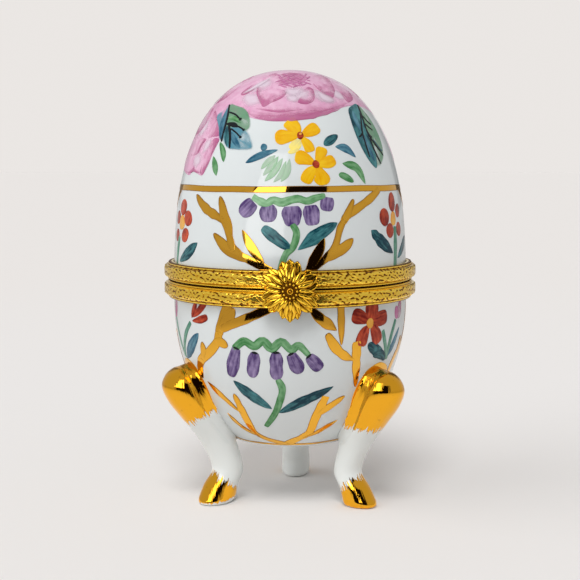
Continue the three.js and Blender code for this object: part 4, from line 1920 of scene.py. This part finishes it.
DOME_LEAVES: list[Mark | Blot] = [
    Blot(Paint.LEAF_BLUE, (
        (-48.5, 91.7), (-53.4, 90.4), (-56, 89.1), (-48, 86.5), (-42.8, 83.6), (-40, 85.8), (-41, 88.8),
    ), 2, 0.1),
    Blot(Paint.LEAF_GREEN, (
        (-48.5, 91.7), (-39.5, 91.4), (-31.1, 90.6), (-26, 88.9), (-23.4, 86.5), (-28, 85),
        (-38, 85.2), (-43, 87.8),
    ), 3, 0.14),
    Blot(Paint.LEAF_BLUE, (
        (-42, 86.2), (-40.6, 83.5), (-34.3, 81.7), (-22.4, 81.4), (-19.8, 82.3), (-23.4, 85.2), (-32, 86.6),
    ), 4, 0.14),
    leaf(Paint.TEAL, 1.6, (-40.5, 86.8), (-38, 84.6), (-36.2, 82.3), layer=5),
    leaf(Paint.BLUE, 1.8, (-47.6, 91), (-45, 87.6), (-42.4, 83.8), layer=5),
    leaf(Paint.BLUE, 1.4, (-36.6, 85.6), (-32, 83.6), (-27.6, 82), layer=5),
    leaf(Paint.GREEN, 1.0, (-42.6, 88.6), (-36.6, 88.4), (-31, 87.4), layer=5),
    vein(0.55, (-48.2, 91.6), (-43.7, 89), (-42, 86.3), (-41.4, 83.4)),
    vein(0.65, (-39.7, 87.1), (-36.2, 84.9), (-34.2, 81.9)),
    vein(0.4, (-44.4, 89.9), (-37.4, 89.3), (-32.2, 88.2)),
    leaf(Paint.INK, 1.1, (-42, 87.3), (-36.5, 87.1), (-31.5, 86.5), layer=6),
    vein(0.4, (-34, 86.8), (-31, 86.5), (-27.7, 85.9)),
    vein(0.4, (-37, 86.2), (-32.3, 85.3), (-28.8, 84.3)),
    dab(Paint.INK, 0.75, (-33, 88.4), (-31.4, 88.1), layer=7),
    dab(Paint.INK, 0.6, (-28.4, 86), (-27, 85.8), layer=7),
    dab(Paint.INK, 0.6, (-29.4, 84.5), (-28.2, 84.2), layer=7),
    Blot(Paint.LEAF_GREEN, (
        (57, 91.7), (52, 88.5), (50.5, 85.8), (50, 82), (49.5, 78.2), (54, 77.8), (58.5, 79),
        (62, 80.6), (64.4, 83), (64.8, 86), (63.6, 88.8), (60, 91.5),
    ), 2, 0.12),
    Blot(Paint.TEAL, (
        (57, 91.7), (49.3, 91.4), (43.2, 90.4), (41, 87.8), (41, 84.9), (42.8, 81.9), (46.4, 79.1),
        (51, 77.7), (53, 80.5), (52, 83.5), (51.7, 85.8), (53.2, 88.5),
    ), 3),
    leaf(Paint.BLUE, 1.5, (46, 85.6), (47.6, 82.6), (50.4, 79), layer=4),
    leaf(Paint.BLUE, 1.4, (46.5, 90.2), (45.4, 88), (45.6, 85.8), layer=4),
    leaf(Paint.TEAL, 1.0, (55, 84), (58, 82), (61.4, 81.4), layer=4),
    vein(0.55, (57, 91.6), (53.2, 88.5), (51.7, 85.8), (53.6, 83.8), (60.8, 80.4)),
    vein(0.5, (53.4, 89.7), (47.1, 85.8), (46.3, 83.4), (46.8, 80)),
    vein(0.5, (52, 84.2), (52.6, 81.7), (55.8, 78.5)),
    vein(0.4, (54.6, 89.2), (57, 88), (60, 87.2)),
    vein(0.4, (53, 87.4), (55.5, 86.6), (58.4, 86)),
    vein(0.4, (51.8, 85.7), (53, 84.8), (54.6, 84.4)),
    vein(0.4, (47.3, 85.6), (45, 84.8), (42.6, 84.4)),
]
SIDE_PEONY: list[Mark | Blot] = [
    Blot(Paint.WASH, (
        (-51, 91.8), (-47, 87), (-43.8, 83.8), (-45.2, 81.6), (-46.9, 79.2), (-48.5, 77.6), (-51, 76),
        (-56, 76.4), (-61, 76.8), (-66, 76), (-78, 77), (-90, 78.4), (-97, 82), (-94, 87), (-82, 90.6),
        (-68, 91.6),
    )),
    glow(Paint.WHITE, 8.0, (-71, 89), (-67, 86.6), (-63.4, 84.2)),
    glow(Paint.WHITE, 3.4, (-50.5, 84.3), (-53, 82.6), (-55.4, 80.4)),
    glow(Paint.WHITE, 5.2, (-65, 79.8), (-59, 79.3), (-54.5, 78.4)),
    glow(Paint.WHITE, 5.0, (-79, 86), (-84, 81.4), (-86, 78.6)),
    Blot(Paint.ROSE, (
        (-62.8, 90.4), (-54.8, 89), (-49, 87.4), (-45.8, 85.9), (-45, 84.7), (-49, 84.5), (-54, 84.3),
        (-57.6, 85), (-58.4, 86.6), (-61, 88.2),
    ), 2, heart=(-59.5, 86.2)),
    Blot(Paint.ROSE, (
        (-43.6, 83.8), (-45.2, 81.8), (-46.4, 80.4), (-47.1, 79), (-48.4, 77.7), (-50.5, 76.2), (-53, 76.6),
        (-52.4, 78.4), (-52, 79.6), (-51.2, 81.4), (-50.4, 83.2), (-47.6, 84.2),
    ), 3, heart=(-53.5, 81)),
    Blot(Paint.ROSE, (
        (-55.9, 83.9), (-58.6, 82.6), (-60, 80.9), (-66.4, 80.3), (-70, 80.6), (-68.4, 82.4),
        (-66, 83.4), (-61, 84.2),
    ), 3, heart=(-68, 82.6)),
    Blot(Paint.ROSE, (
        (-70, 91), (-66, 88.4), (-68, 86.2), (-76, 85), (-84, 86), (-90, 88), (-82, 90.2),
    ), 3, heart=(-76, 88.6)),
    Blot(Paint.ROSE, (
        (-82, 85), (-82, 80.6), (-86, 78.2), (-92, 79.6), (-95, 83), (-90, 86.4),
    ), 2, heart=(-88, 84)),
    fold(1.5, Edge.LEFT, (-51, 76.9), (-56, 77.1), (-61, 77.5), (-66, 76.9), (-72, 77), layer=4),
    fold(1.1, Edge.RIGHT, (-43.8, 83.9), (-45.2, 82), (-46.6, 80), layer=4),
    fold(0.9, Edge.RIGHT, (-46.9, 79.4), (-48.4, 77.8), (-50.4, 76.5), layer=4),
    fold(1.2, Edge.RIGHT, (-56.4, 83.8), (-59, 82.4), (-60.2, 81), layer=4),
    fold(1.0, Edge.LEFT, (-60.8, 78.3), (-62.6, 76.5), layer=4),
]
TOP_PETALS: list[Mark | Blot] = [
    glow(Paint.WHITE, 5.0, (-19, 97.4), (-27, 95.9), (-38, 93.9)),
    glow(Paint.WHITE, 6.4, (-8, 94.3), (6, 93.8), (18, 94.5)),
    glow(Paint.WHITE, 5.4, (18, 95.1), (26, 93.4), (36, 92.3)),
    glow(Paint.WHITE, 5.0, (35, 95), (47, 92.6)),
    glow(Paint.WHITE, 5.2, (-41, 94.2), (-30, 92.7), (-19, 91.7)),
    fold(5.0, Edge.RIGHT, (-36, 90.7), (-17, 89.7), (-3, 89.8), (11, 90.3), (27, 91), (51, 92.6)),
    fold(1.3, Edge.RIGHT, (-10, 89.2), (4, 89.3), (18, 90), (44, 91.6), layer=3),
    fold(1.2, Edge.RIGHT, (-26, 90.8), (-8, 90.2), (9, 90.4), layer=3),
    Blot(Paint.ROSE, (
        (-30.5, 95.2), (-24.6, 93.5), (-19, 91), (-13.7, 91.7), (-8.5, 92.7), (-2.4, 94.3),
        (-10, 94.8), (-20, 95.6),
    ), 3, heart=(-16, 95.2)),
    Blot(Paint.ROSE, (
        (17.2, 95.4), (20.2, 94.4), (16.4, 92.5), (11.8, 91.5), (5.6, 91.9), (8.6, 93.3), (11.4, 94.6),
    ), 3, heart=(11.6, 93.8)),
    Blot(Paint.ROSE, (
        (30.9, 98), (50.7, 98.5), (53.9, 97.7), (45.5, 95.9), (40.9, 94.5), (32.6, 92.8),
        (27.2, 94.4), (25.4, 96),
    ), 3, heart=(29, 97)),
    Blot(Paint.ROSE, (
        (-26, 98.8), (-36.7, 96.7), (-44, 94.2), (-38, 93.8), (-28, 95.8), (-19, 98),
    ), 3, heart=(-29, 97.1)),
    Blot(Paint.ROSE, (
        (46, 92.6), (52, 92.4), (60, 93.6), (64, 96.4), (58, 98), (50, 96.4),
    ), 3, heart=(56, 96)),
    fold(1.1, Edge.LEFT, (-2.4, 94.3), (-8.5, 93), (-14.5, 91.8), layer=4),
    fold(1.0, Edge.RIGHT, (-31, 95.6), (-24.6, 93.5), (-19, 91.1), layer=4),
    fold(1.0, Edge.RIGHT, (11.8, 91.6), (16.4, 92.6), (20, 94.4), layer=4),
    fold(0.9, Edge.RIGHT, (23, 96.6), (27.4, 94.5), (32, 92.7), layer=4),
    Blot(Paint.ROSE, (
        (-21, 98), (-11, 95.7), (0, 95.3), (11, 95.7), (25, 98), (18, 98.9), (0, 99.1), (-14, 98.9),
    ), 2, 0.35),
]
CROWN_LIGHTS: list[Mark] = [
    glow(Paint.WHITE, 2.0, (-44, 93.4), (-35.7, 95.0), (-28, 96.6), (-20, 98.1), layer=5),
    glow(Paint.WHITE, 3.4, (-5, 95.3), (3, 94.1), (11, 95.3), layer=5),
    glow(Paint.WHITE, 3.0, (-3, 93.4), (2, 92.7), (7, 93), layer=5),
    glow(Paint.WHITE, 3.4, (22.4, 94.8), (27, 93), (37, 92.2), layer=5),
]


@dataclass
class Painting:
    """Overglaze painting and gilding on one half of the egg, as thin fired pads."""

    egg: EggForm
    body: str
    seed: int
    pad: float = 0.05
    layer_step: float = 0.025
    bury: float = 0.07
    pitch: float = 0.4
    wobble: float = 0.07
    fill_pitch: float = 0.7
    outline: float = 0.16
    fade: float = 1.6
    full: float = 1.1
    shade: float = 1.7
    # Form of a brush mark and its streaks
    fewest: int = 12
    most: int = 90
    knot_pitch: float = 1.1
    thinnest: float = 0.02
    paint_section: Pair = (0.9, 0.55)
    gold_section: Pair = (0.94, 0.86)
    paint_crown: int = 4
    gold_crown: int = 30
    edge_height: float = 0.4
    rise_spread: float = 0.004
    streak_run: float = 0.3
    streak_start: float = 50.0
    streaks_across: float = 1.7
    root_fade: Pair = (0.3, 1.5)
    rim_line: float = 0.03
    usual_load: Pair = (0.52, 0.74)
    drag: float = 0.35
    edge_pool: float = 0.25
    # Form of a filled shape and its tone
    fewest_round: int = 48
    fewest_rings: int = 6
    edge_slope: float = 20.0
    ripple: float = 0.14
    ripple_knots: int = 11
    middle_load: float = 0.42
    edge_load: float = 0.3
    soft_load: float = 1.5
    drafts: dict[Paint, MeshDraft] = field(default_factory=dict)

    def __post_init__(self) -> None:
        """Seeds the painter's hand."""
        self.dice = np.random.default_rng(self.seed)

    def draft(self, paint: Paint) -> MeshDraft:
        """Draft that holds all marks of a colour."""
        return self.drafts.setdefault(paint, MeshDraft())

    def mark(self, mark: Mark) -> None:
        """Adds one brush mark.

        Args:
            mark: Mark that is painted.
        """
        route = self.egg.place(mark.spots)
        length = np.linalg.norm(np.diff(route, axis=0), axis=1).sum()
        count = int(np.clip(length / self.pitch, self.fewest, self.most))
        share = 0.5 * (1 - np.cos(np.linspace(0, np.pi, count)))
        middle = self.egg.settle(through(route, share))
        heading = unit(np.gradient(middle, axis=0))
        _, normal = self.egg.depth_and_normal(middle)
        sideways = np.cross(normal, heading)
        sharp_start, sharp_end, blunt = mark.brush.value
        crest = sharp_start / (sharp_start + sharp_end)
        place = blunt + (1 - blunt) * share
        shape = (place / crest) ** sharp_start * ((1 - place) / (1 - crest)) ** sharp_end
        knots = max(4, int(length / self.knot_pitch))
        shake = 1 + self.wobble * through(self.dice.normal(0, 1, (knots, 1)), share)[:, 0]
        half = np.maximum(0.5 * mark.width * shape * shake, self.thinnest)
        gold = mark.paint is Paint.GOLD
        shoulder, crest_edge = self.gold_section if gold else self.paint_section
        half_across = np.array([1.0, shoulder, crest_edge])
        across = np.concatenate([-half_across, [0.0], half_across[::-1], [1.0, 0.0, -1.0]])
        top = np.arange(10) < 7
        reach = half[:, None] * across[None, :]
        spread = middle[:, None, :] + reach[..., None] * sideways[:, None, :]
        sharpness = self.gold_crown if gold else self.paint_crown
        crown = np.where(top, 1 - np.abs(across) ** sharpness, 0.0)
        rise = self.edge_height + (1 - self.edge_height) * crown
        lift = mark.layer * self.layer_step + self.rise_spread * self.dice.random() + self.pad * rise
        lift = np.broadcast_to(np.where(top, lift, -self.bury), reach.shape)
        rows = self.egg.settle(spread, lift)
        pool = self.pooled(mark, share[:, None], across[None, :])
        start = self.streak_start * self.dice.random()
        along = np.broadcast_to(share[:, None] * length * self.streak_run + start, reach.shape)
        stroke = np.stack([along, reach * self.streaks_across, np.zeros(reach.shape)], axis=-1)
        root = smooth_step(share * length, *self.root_fade)[:, None]
        rim = root * smooth_step(half[:, None] - np.abs(reach), self.outline, self.rim_line)
        self.draft(mark.paint).tube(rows, paint_load=pool, stroke=stroke, rim=rim)

    def pooled(self, mark: Mark, share: Array, across: Array) -> Array:
        """How thick the paint of a mark lies, along it and across it.

        Args:
            mark: Mark that is painted.
            share: Places along it, from 0 to 1.
            across: Places across it, from -1 to 1.

        Returns:
            Load of paint at each place.
        """
        ends = np.sin(np.pi * share)
        if mark.edge is Edge.MIDDLE:
            return self.full * (1 - across**2) ** 2 * ends
        if mark.edge is not Edge.EVEN:
            side = 1 if mark.edge is Edge.LEFT else -1
            return (0.5 + 0.5 * side * across) ** self.fade * ends**0.8
        usual = self.dice.uniform(*self.usual_load)
        load = usual if mark.load is None else mark.load
        drag = self.drag * (share - 0.5) * self.dice.choice([-1, 1])
        return load + drag + self.edge_pool * np.abs(across) ** 5

    def blot(self, blot: Blot) -> None:
        """Adds one filled shape.

        Args:
            blot: Shape that is painted.
        """
        edge = self.egg.place(blot.spots)
        length = np.linalg.norm(np.diff(edge, axis=0), axis=1).sum()
        around = max(self.fewest_round, int(length / self.pitch))
        loop = through(edge, np.linspace(0, 1, around, endpoint=False), closed=True)
        middle = self.egg.settle(self.egg.place([blot.heart])[0] if blot.heart else loop.mean(axis=0))
        reach = np.linalg.norm(loop - middle, axis=1).max()
        steps = max(self.fewest_rings, int(reach / self.fill_pitch))
        scale = np.concatenate([[1.0, 1.0], np.linspace(0.985, 0.02, steps)])
        rings = middle + scale[:, None, None] * (loop - middle)[None]
        rise = np.minimum(1.0, self.edge_height + self.edge_slope * (1 - scale))
        lift = blot.layer * self.layer_step + self.pad * rise
        lift[0] = -self.bury
        rows = self.egg.settle(rings, np.broadcast_to(lift[:, None], rings.shape[:2]))
        deep = np.linspace(0.05, 0.95, steps)
        under = middle + deep[:, None, None] * (loop - middle)[None]
        rows = np.concatenate([self.egg.settle(under, np.full((steps, around), -self.bury)), rows])
        places = np.linspace(0, 1, around, endpoint=False)
        ripple = through(self.dice.normal(0, self.ripple, (self.ripple_knots, 1)), places, True)[:, 0]
        weight = np.concatenate([np.full(steps, 0.5), self.middle_load + self.edge_load * scale**8])
        pool = weight[:, None] + ripple[None, :]
        if blot.heart:
            away = np.linalg.norm(rows - middle, axis=2) / reach
            pool = (1 + ripple[None, :]) * np.clip(away, 0, 1) ** self.shade
        if blot.soft:
            inwards = np.concatenate([np.zeros(steps), 1 - scale])
            pool = self.soft_load * pool * smooth_step(inwards, 0.0, blot.soft)[:, None]
        stroke = np.stack([rows[..., 2] * 0.22, rows[..., 0] * 0.7, rows[..., 1] * 0.7], axis=-1)
        self.draft(blot.paint).tube(rows, paint_load=pool, stroke=stroke, rim=np.zeros(pool.shape))

    def ring(self, height: float, width: float, segments: int = 360) -> None:
        """Adds a gold line right round the egg.

        Args:
            height: Height of its middle.
            width: Full width.
            segments: Points round the egg.
        """
        angle = np.linspace(0, 360, segments, endpoint=False)
        level = np.array([-0.5, -0.46, -0.4, 0.0, 0.4, 0.46, 0.5, 0.5, -0.5])
        profile = np.array([0.3, 0.9, 1.0, 1.0, 1.0, 0.9, 0.3, 0.0, 0.0])
        top = profile > 0
        sway = 0.06 * np.sin(np.radians(3 * angle)) + 0.04 * np.sin(np.radians(11 * angle + 40))
        heights = height + sway[:, None] + width * level[None, :]
        azimuth = np.broadcast_to(angle[:, None], heights.shape)
        lift = np.where(top, self.layer_step + self.pad * profile, -self.bury)
        surface = self.egg.place(np.stack([azimuth.ravel(), heights.ravel()], axis=-1))
        surface = surface.reshape(segments, len(level), 3)
        rows = self.egg.settle(surface, np.broadcast_to(lift, heights.shape))
        rim = np.broadcast_to(np.where(np.abs(level) > 0.45, 1.0, 0.0), heights.shape)
        faces = grid_faces(segments + 1, len(level), True) % (segments * len(level))
        flat = rows.reshape(-1, 3)
        self.draft(Paint.GOLD).add(
            flat, [faces], paint_load=np.zeros(len(flat)), stroke=np.zeros((len(flat), 3)), rim=rim.ravel()
        )

    def panel(
        self, marks: Iterable[Mark | Blot], turn: float = 0.0, flip: bool = False, stray: float = 0.0
    ) -> None:
        """Paints a group of marks at another place on the egg.

        Args:
            marks: Marks and filled shapes at their first place.
            turn: Azimuth that they are turned by.
            flip: Whether they are mirrored before they are turned.
            stray: How far the hand strays, in millimetres.
        """
        sign = -1.0 if flip else 1.0
        for item in marks:
            drift = stray * self.dice.normal(0, 1, 2)

            def moved(spot: Spot) -> Spot:
                """Takes a spot to its new place."""
                return (sign * spot[0] + turn + 2 * drift[0], spot[1] + drift[1])

            spots = tuple(moved(spot) for spot in item.spots)
            if isinstance(item, Blot):
                self.blot(replace(item, spots=spots, heart=moved(item.heart) if item.heart else None))
            else:
                self.mark(replace(item, spots=spots, edge=item.edge.flipped() if flip else item.edge))

    def build(self, enamels: dict[Paint, Material]) -> None:
        """Makes one piece for each colour.

        Args:
            enamels: Material of each colour.
        """
        for paint, draft in self.drafts.items():
            words = "gilding" if paint is Paint.GOLD else f"{paint.value}_enamel"
            carry(draft.build(f"{self.body}_{words}", enamels[paint]), self.body, PORCELAIN_SLOT)


@dataclass
class LidPainting:
    """Peonies and sprays over a gold line, with bellflowers and twigs under it."""

    egg: EggForm
    line_height: float = 73.2
    line_width: float = 1.35
    peony_edge: float = 89.6
    peony_scallop: float = 1.9
    peony_turn: float = -6.0
    hatch_strokes: int = 30
    hatch_heights: Pair = (95.6, 98.6)
    hatch_turn: float = 4.0
    hatch_half_width: float = 24.0
    hatch_skip: float = 0.618
    hatch_lean: float = 4.0
    hatch_narrow: float = 0.45
    hatch_rise: float = 0.35
    hatch_width: float = 0.42
    rim_step: int = 12
    lobes: int = 3
    seed: int = 21
    thirds: tuple[float, ...] = (0.0, 120.0, 240.0)

    def peony_rim(self) -> tuple[Spot, ...]:
        """Scalloped edge of the peony on the crown.

        Returns:
            Spots round the crown.
        """
        spots = []
        for azimuth in range(0, 360, self.rim_step):
            swing = math.cos(math.radians(self.lobes * (azimuth - self.peony_turn)))
            spots.append((float(azimuth), self.peony_edge - self.peony_scallop * swing))
        return tuple(spots)

    def hatch(self, painting: Painting) -> None:
        """Short crossed strokes that mark the peony's heart.

        Args:
            painting: Painting that takes the strokes.
        """
        low, high = self.hatch_heights
        rise = self.hatch_rise
        for turn in self.thirds:
            for step in range(self.hatch_strokes):
                share = step / self.hatch_strokes
                height = low + share * (high - low)
                half = self.hatch_half_width * (self.hatch_narrow + (1 - self.hatch_narrow) * share)
                azimuth = turn + self.hatch_turn + half * (2 * (step * self.hatch_skip % 1) - 1)
                lean = self.hatch_lean if step % 2 else -self.hatch_lean
                spots = ((azimuth - lean, height - rise), (azimuth, height), (azimuth + lean, height + rise))
                painting.mark(leaf(Paint.PINK, self.hatch_width, *spots, layer=4))

    def build(self, enamels: dict[Paint, Material]) -> None:
        """Paints the lid.

        Args:
            enamels: Material of each colour.
        """
        painting = Painting(self.egg, LID, self.seed)
        painting.blot(Blot(Paint.WASH, self.peony_rim()))
        for turn in self.thirds:
            painting.panel(TOP_PETALS, turn)
        self.hatch(painting)
        for turn, stray in ((0, 0.0), (180, 0.12)):
            painting.panel(SIDE_PEONY, turn, stray=stray)
            painting.panel(DOME_LEAVES, turn)
            painting.panel(DOME_SPRAY, turn, stray=stray)
        painting.ring(self.line_height, self.line_width)
        for turn, flip, stray in ((0, False, 0.0), (124, True, 0.12), (236, False, 0.12)):
            painting.panel(LID_BELLFLOWER, turn, flip, stray)
            painting.panel(LID_TWIGS, turn, flip)
        painting.panel(LID_RIGHT_BLOSSOM)
        painting.panel(LID_RIGHT_BLOSSOM, 120, stray=0.15)
        painting.panel(LID_LEFT_BLOSSOM)
        for turn in self.thirds:
            painting.panel(CROWN_LIGHTS, turn)
        painting.build(enamels)


@dataclass
class BasePainting:
    """Bellflowers in gold twig diamonds, with red blossoms over the legs and gold lips round the knees."""

    egg: EggForm
    knee_azimuths: tuple[float, ...] = (51.8, 173.1, 293.1)
    lip: tuple[Pair, ...] = (
        (4.4, 19.8), (5.4, 22.0), (6.2, 24.5), (6.6, 27.0), (6.2, 29.5), (5.2, 31.5), (3.5, 33.2),
    )
    lip_top: float = 34.2
    line_height: float = 15.0
    line_width: float = 0.5
    seed: int = 34

    def build(self, enamels: dict[Paint, Material]) -> None:
        """Paints the base.

        Args:
            enamels: Material of each colour.
        """
        painting = Painting(self.egg, BASE, self.seed)
        painting.ring(self.line_height, self.line_width)
        for turn, stray in ((0, 0.0), (120, 0.12), (240, 0.12)):
            painting.panel(BASE_BELLFLOWER, turn, stray=stray)
            painting.panel(BASE_TWIGS, turn)
        painting.panel(BASE_RIGHT_FLOWERS)
        painting.panel(BASE_RIGHT_FLOWERS, 120, stray=0.15)
        painting.panel(BASE_LEFT_FLOWERS)
        for azimuth in self.knee_azimuths:
            left = [(azimuth - TURN_PER_MM * half, height) for half, height in self.lip]
            right = [(azimuth + TURN_PER_MM * half, height) for half, height in reversed(self.lip)]
            painting.blot(Blot(Paint.GOLD, (*left, (azimuth, self.lip_top), *right), 2))
        painting.build(enamels)


# Stage

WARM_DARK: Colour = (1.0, 0.6, 0.3, 1.0)


@dataclass(frozen=True)
class Card:
    """An upright lit or dark card that only reflections see: its left and right ends, low to high."""

    name: str
    left: tuple[Spot, Spot]
    right: tuple[Spot, Spot]
    light: float
    distance: float = 235.0
    tint: Colour = (1.0, 0.99, 0.97, 1.0)


@dataclass(frozen=True)
class Lamp:
    """A broad light: its strength, where it stands and how wide it looks."""

    name: str
    strength: float
    elevation: float
    azimuth: float
    angle: float


@dataclass
class Studio:
    """Pale floor and backdrop, two broad soft lights, cards for reflections, and the camera."""

    backdrop: Colour = linear(234.6, 230.6, 227.6)
    paper: Colour = linear(237.5, 233.5, 230.5)
    # Painted light on the floor: near_paper is a lighter paper near the object, and the three shares below
    # set how bright reflections and bounced light see the floor
    near_paper: Colour = linear(238.0, 235.0, 233.0)
    mirrored_near: float = 1.15
    mirrored_far: float = 0.62
    bounced_floor: float = 0.9
    sky: float = 0.46
    lamps: tuple[Lamp, ...] = (
        Lamp("front_light", 1.45, 54.0, -8.0, 24.0),
        Lamp("left_light", 1.0, 24.0, -72.0, 60.0),
    )
    glossy_sky: float = 0.57
    camera_distance: float = 293.1
    camera_height: float = 80.2
    camera_pitch: float = 6.11
    focal_pixels: float = 1248.2
    frame_pixels: float = 580.0
    sensor: float = 36.0
    floor_half: float = 6000.0
    paper_span: Pair = (120.0, 600.0)
    mirrored_span: Pair = (60.0, 260.0)
    card_steps: int = 13
    cards: tuple[Card, ...] = (
        Card("softbox", ((-43.5, 57.0), (-21.5, 235.0)), ((-6.0, 59.0), (-2.0, 235.0)), 3.2, 225.0),
        Card(
            "dark_opening", ((-42.0, 0.5), (-34.0, 175.0)), ((30.5, 0.5), (38.2, 175.0)), 0.006,
            tint=WARM_DARK,
        ),
        Card("right_edge_flag", ((138.0, 70.0), (138.0, 300.0)), ((158.0, 70.0), (158.0, 300.0)), 0.1),
        Card("left_edge_flag", ((-158.0, 70.0), (-158.0, 300.0)), ((-142.0, 70.0), (-142.0, 300.0)), 0.2),
    )

    def floor(self) -> None:
        """Wide pale floor with painted light: lighter paper near the object, and other colours for
        reflections and bounced light.
        """
        mesh = bpy.data.meshes.new("floor")
        half = self.floor_half * MM
        corners = [(-half, -half, 0), (half, -half, 0), (half, half, 0), (-half, half, 0)]
        mesh.from_pydata(corners, [], [(0, 1, 2, 3)])
        floor = add_object("floor", mesh)
        surface = Surface("floor_paper", Roughness=0.9, Specular_IOR_Level=0.0)
        sketch = surface.sketch
        length = sketch.add("ShaderNodeVectorMath", {0: sketch.millimetres()}, operation="LENGTH")
        away = length.outputs["Value"]
        far = sketch.span(away, *self.paper_span, 0.0, 1.0)
        # Painted light: the paper near the object is a little lighter and cooler than far off, to make up
        # for the shade and tinted bounce that the object throws there
        plain = sketch.blend(far, self.near_paper, self.paper)
        path = sketch.add("ShaderNodeLightPath").outputs
        # Painted reflection and painted shade: reflections see the floor brighter near the object and darker
        # far off, and bounced light sees it dimmer than the camera does
        shares = (self.mirrored_near, self.mirrored_far, self.bounced_floor)
        near, distant, bounced = (tuple(share * part for part in self.paper) for share in shares)
        mirrored = sketch.blend(sketch.span(away, *self.mirrored_span, 0.0, 1.0), near, distant)
        dim = sketch.blend(path["Is Glossy Ray"], bounced, mirrored)
        surface.join(Base_Color=sketch.blend(path["Is Camera Ray"], dim, plain))
        mesh.materials.append(surface.material)
        floor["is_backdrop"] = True

    def world(self) -> None:
        """Even sky, with the backdrop's colour where the camera looks."""
        world = bpy.data.worlds.new("studio_sky")
        world.use_nodes = True
        bpy.context.scene.world = world
        sketch = NodeSketch(world.node_tree)
        path = sketch.add("ShaderNodeLightPath").outputs
        background = world.node_tree.nodes["Background"]
        grey = (self.sky, self.sky, self.sky, 1.0)
        gloss = (self.glossy_sky, self.glossy_sky, self.glossy_sky, 1.0)
        seen = sketch.blend(path["Is Glossy Ray"], grey, gloss)
        sketch.feed(background.inputs["Color"], sketch.blend(path["Is Camera Ray"], seen, self.backdrop))

    def light(self, lamp: Lamp) -> None:
        """Broad light that reflections do not see.

        Args:
            lamp: Lamp that is set up.
        """
        sun = bpy.data.lights.new(lamp.name, "SUN")
        sun.energy = lamp.strength
        sun.angle = math.radians(lamp.angle)
        light = add_object(lamp.name, sun)
        light.rotation_euler = (math.radians(90 - lamp.elevation), 0, math.radians(lamp.azimuth))
        light.visible_glossy = False

    def card(self, card: Card) -> None:
        """Curved upright card that faces the object.

        Args:
            card: Card that is set up.
        """
        corners = np.linspace(card.left, card.right, self.card_steps, axis=1)
        points = on_circle(card.distance, np.radians(corners[..., 0]), corners[..., 1]).reshape(-1, 3)
        mesh = bpy.data.meshes.new(card.name)
        mesh.from_pydata((points * MM).tolist(), [], grid_faces(2, self.card_steps).tolist())
        surface = Surface(
            f"{card.name}_glow", Base_Color=(0.0, 0.0, 0.0, 1.0), Specular_IOR_Level=0.0,
            Emission_Color=card.tint, Emission_Strength=card.light,
        )
        mesh.materials.append(surface.material)
        piece = add_object(card.name, mesh)
        piece.visible_camera = False
        piece.visible_diffuse = False
        piece.visible_shadow = False
        piece.visible_transmission = False
        piece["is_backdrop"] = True

    def camera(self) -> None:
        """Camera where the photograph was taken from."""
        lens = bpy.data.cameras.new("camera")
        lens.sensor_width = self.sensor
        lens.lens = self.focal_pixels / self.frame_pixels * self.sensor
        lens.clip_start = 0.01
        camera = add_object("camera", lens)
        camera.location = (0, -self.camera_distance * MM, self.camera_height * MM)
        camera.rotation_euler = (math.radians(90 - self.camera_pitch), 0, 0)
        bpy.context.scene.camera = camera

    def build(self) -> None:
        """Sets up the whole studio."""
        self.camera()
        self.floor()
        self.world()
        for lamp in self.lamps:
            self.light(lamp)
        for card in self.cards:
            self.card(card)
        bpy.context.scene.view_settings.view_transform = "Standard"


def write_sizes() -> None:
    """Measures the dressed object's box beside the solids' box; the result is not kept."""
    boxes = {"cad": CAD_BOX, "visual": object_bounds()}
    {name: [list(corner) for corner in box] for name, box in boxes.items()}


def main() -> None:
    """Builds every sub-assembly in order."""
    logging.basicConfig(level=logging.INFO, format="%(name)s: %(message)s")
    split = frame["joints"][0]["pos_m"][2] / MM
    egg = EggForm.from_frame()
    effects = Effects()
    porcelain = PorcelainFinish().material(effects)
    brass = BrassFinish().material()
    cast_brass = BrassFinish("cast_brass", bright=(1.0, 0.62, 0.05, 1.0), metallic=1.0).material()
    enamels = {paint: finish.material(effects, paint.value) for paint, finish in PAINTS.items()}
    enamels[Paint.GOLD] = GildingFinish().material(effects)
    Studio().build()
    Shells(egg).build(porcelain)
    Legs(egg).build(LegFinish().material(effects))
    Mounts(egg, split).build(brass)
    Hinge().build(brass)
    Clasp(split).build(cast_brass)
    LidPainting(egg).build(enamels)
    BasePainting(egg).build(enamels)
    write_sizes()


if __name__ == "__main__":
    main()
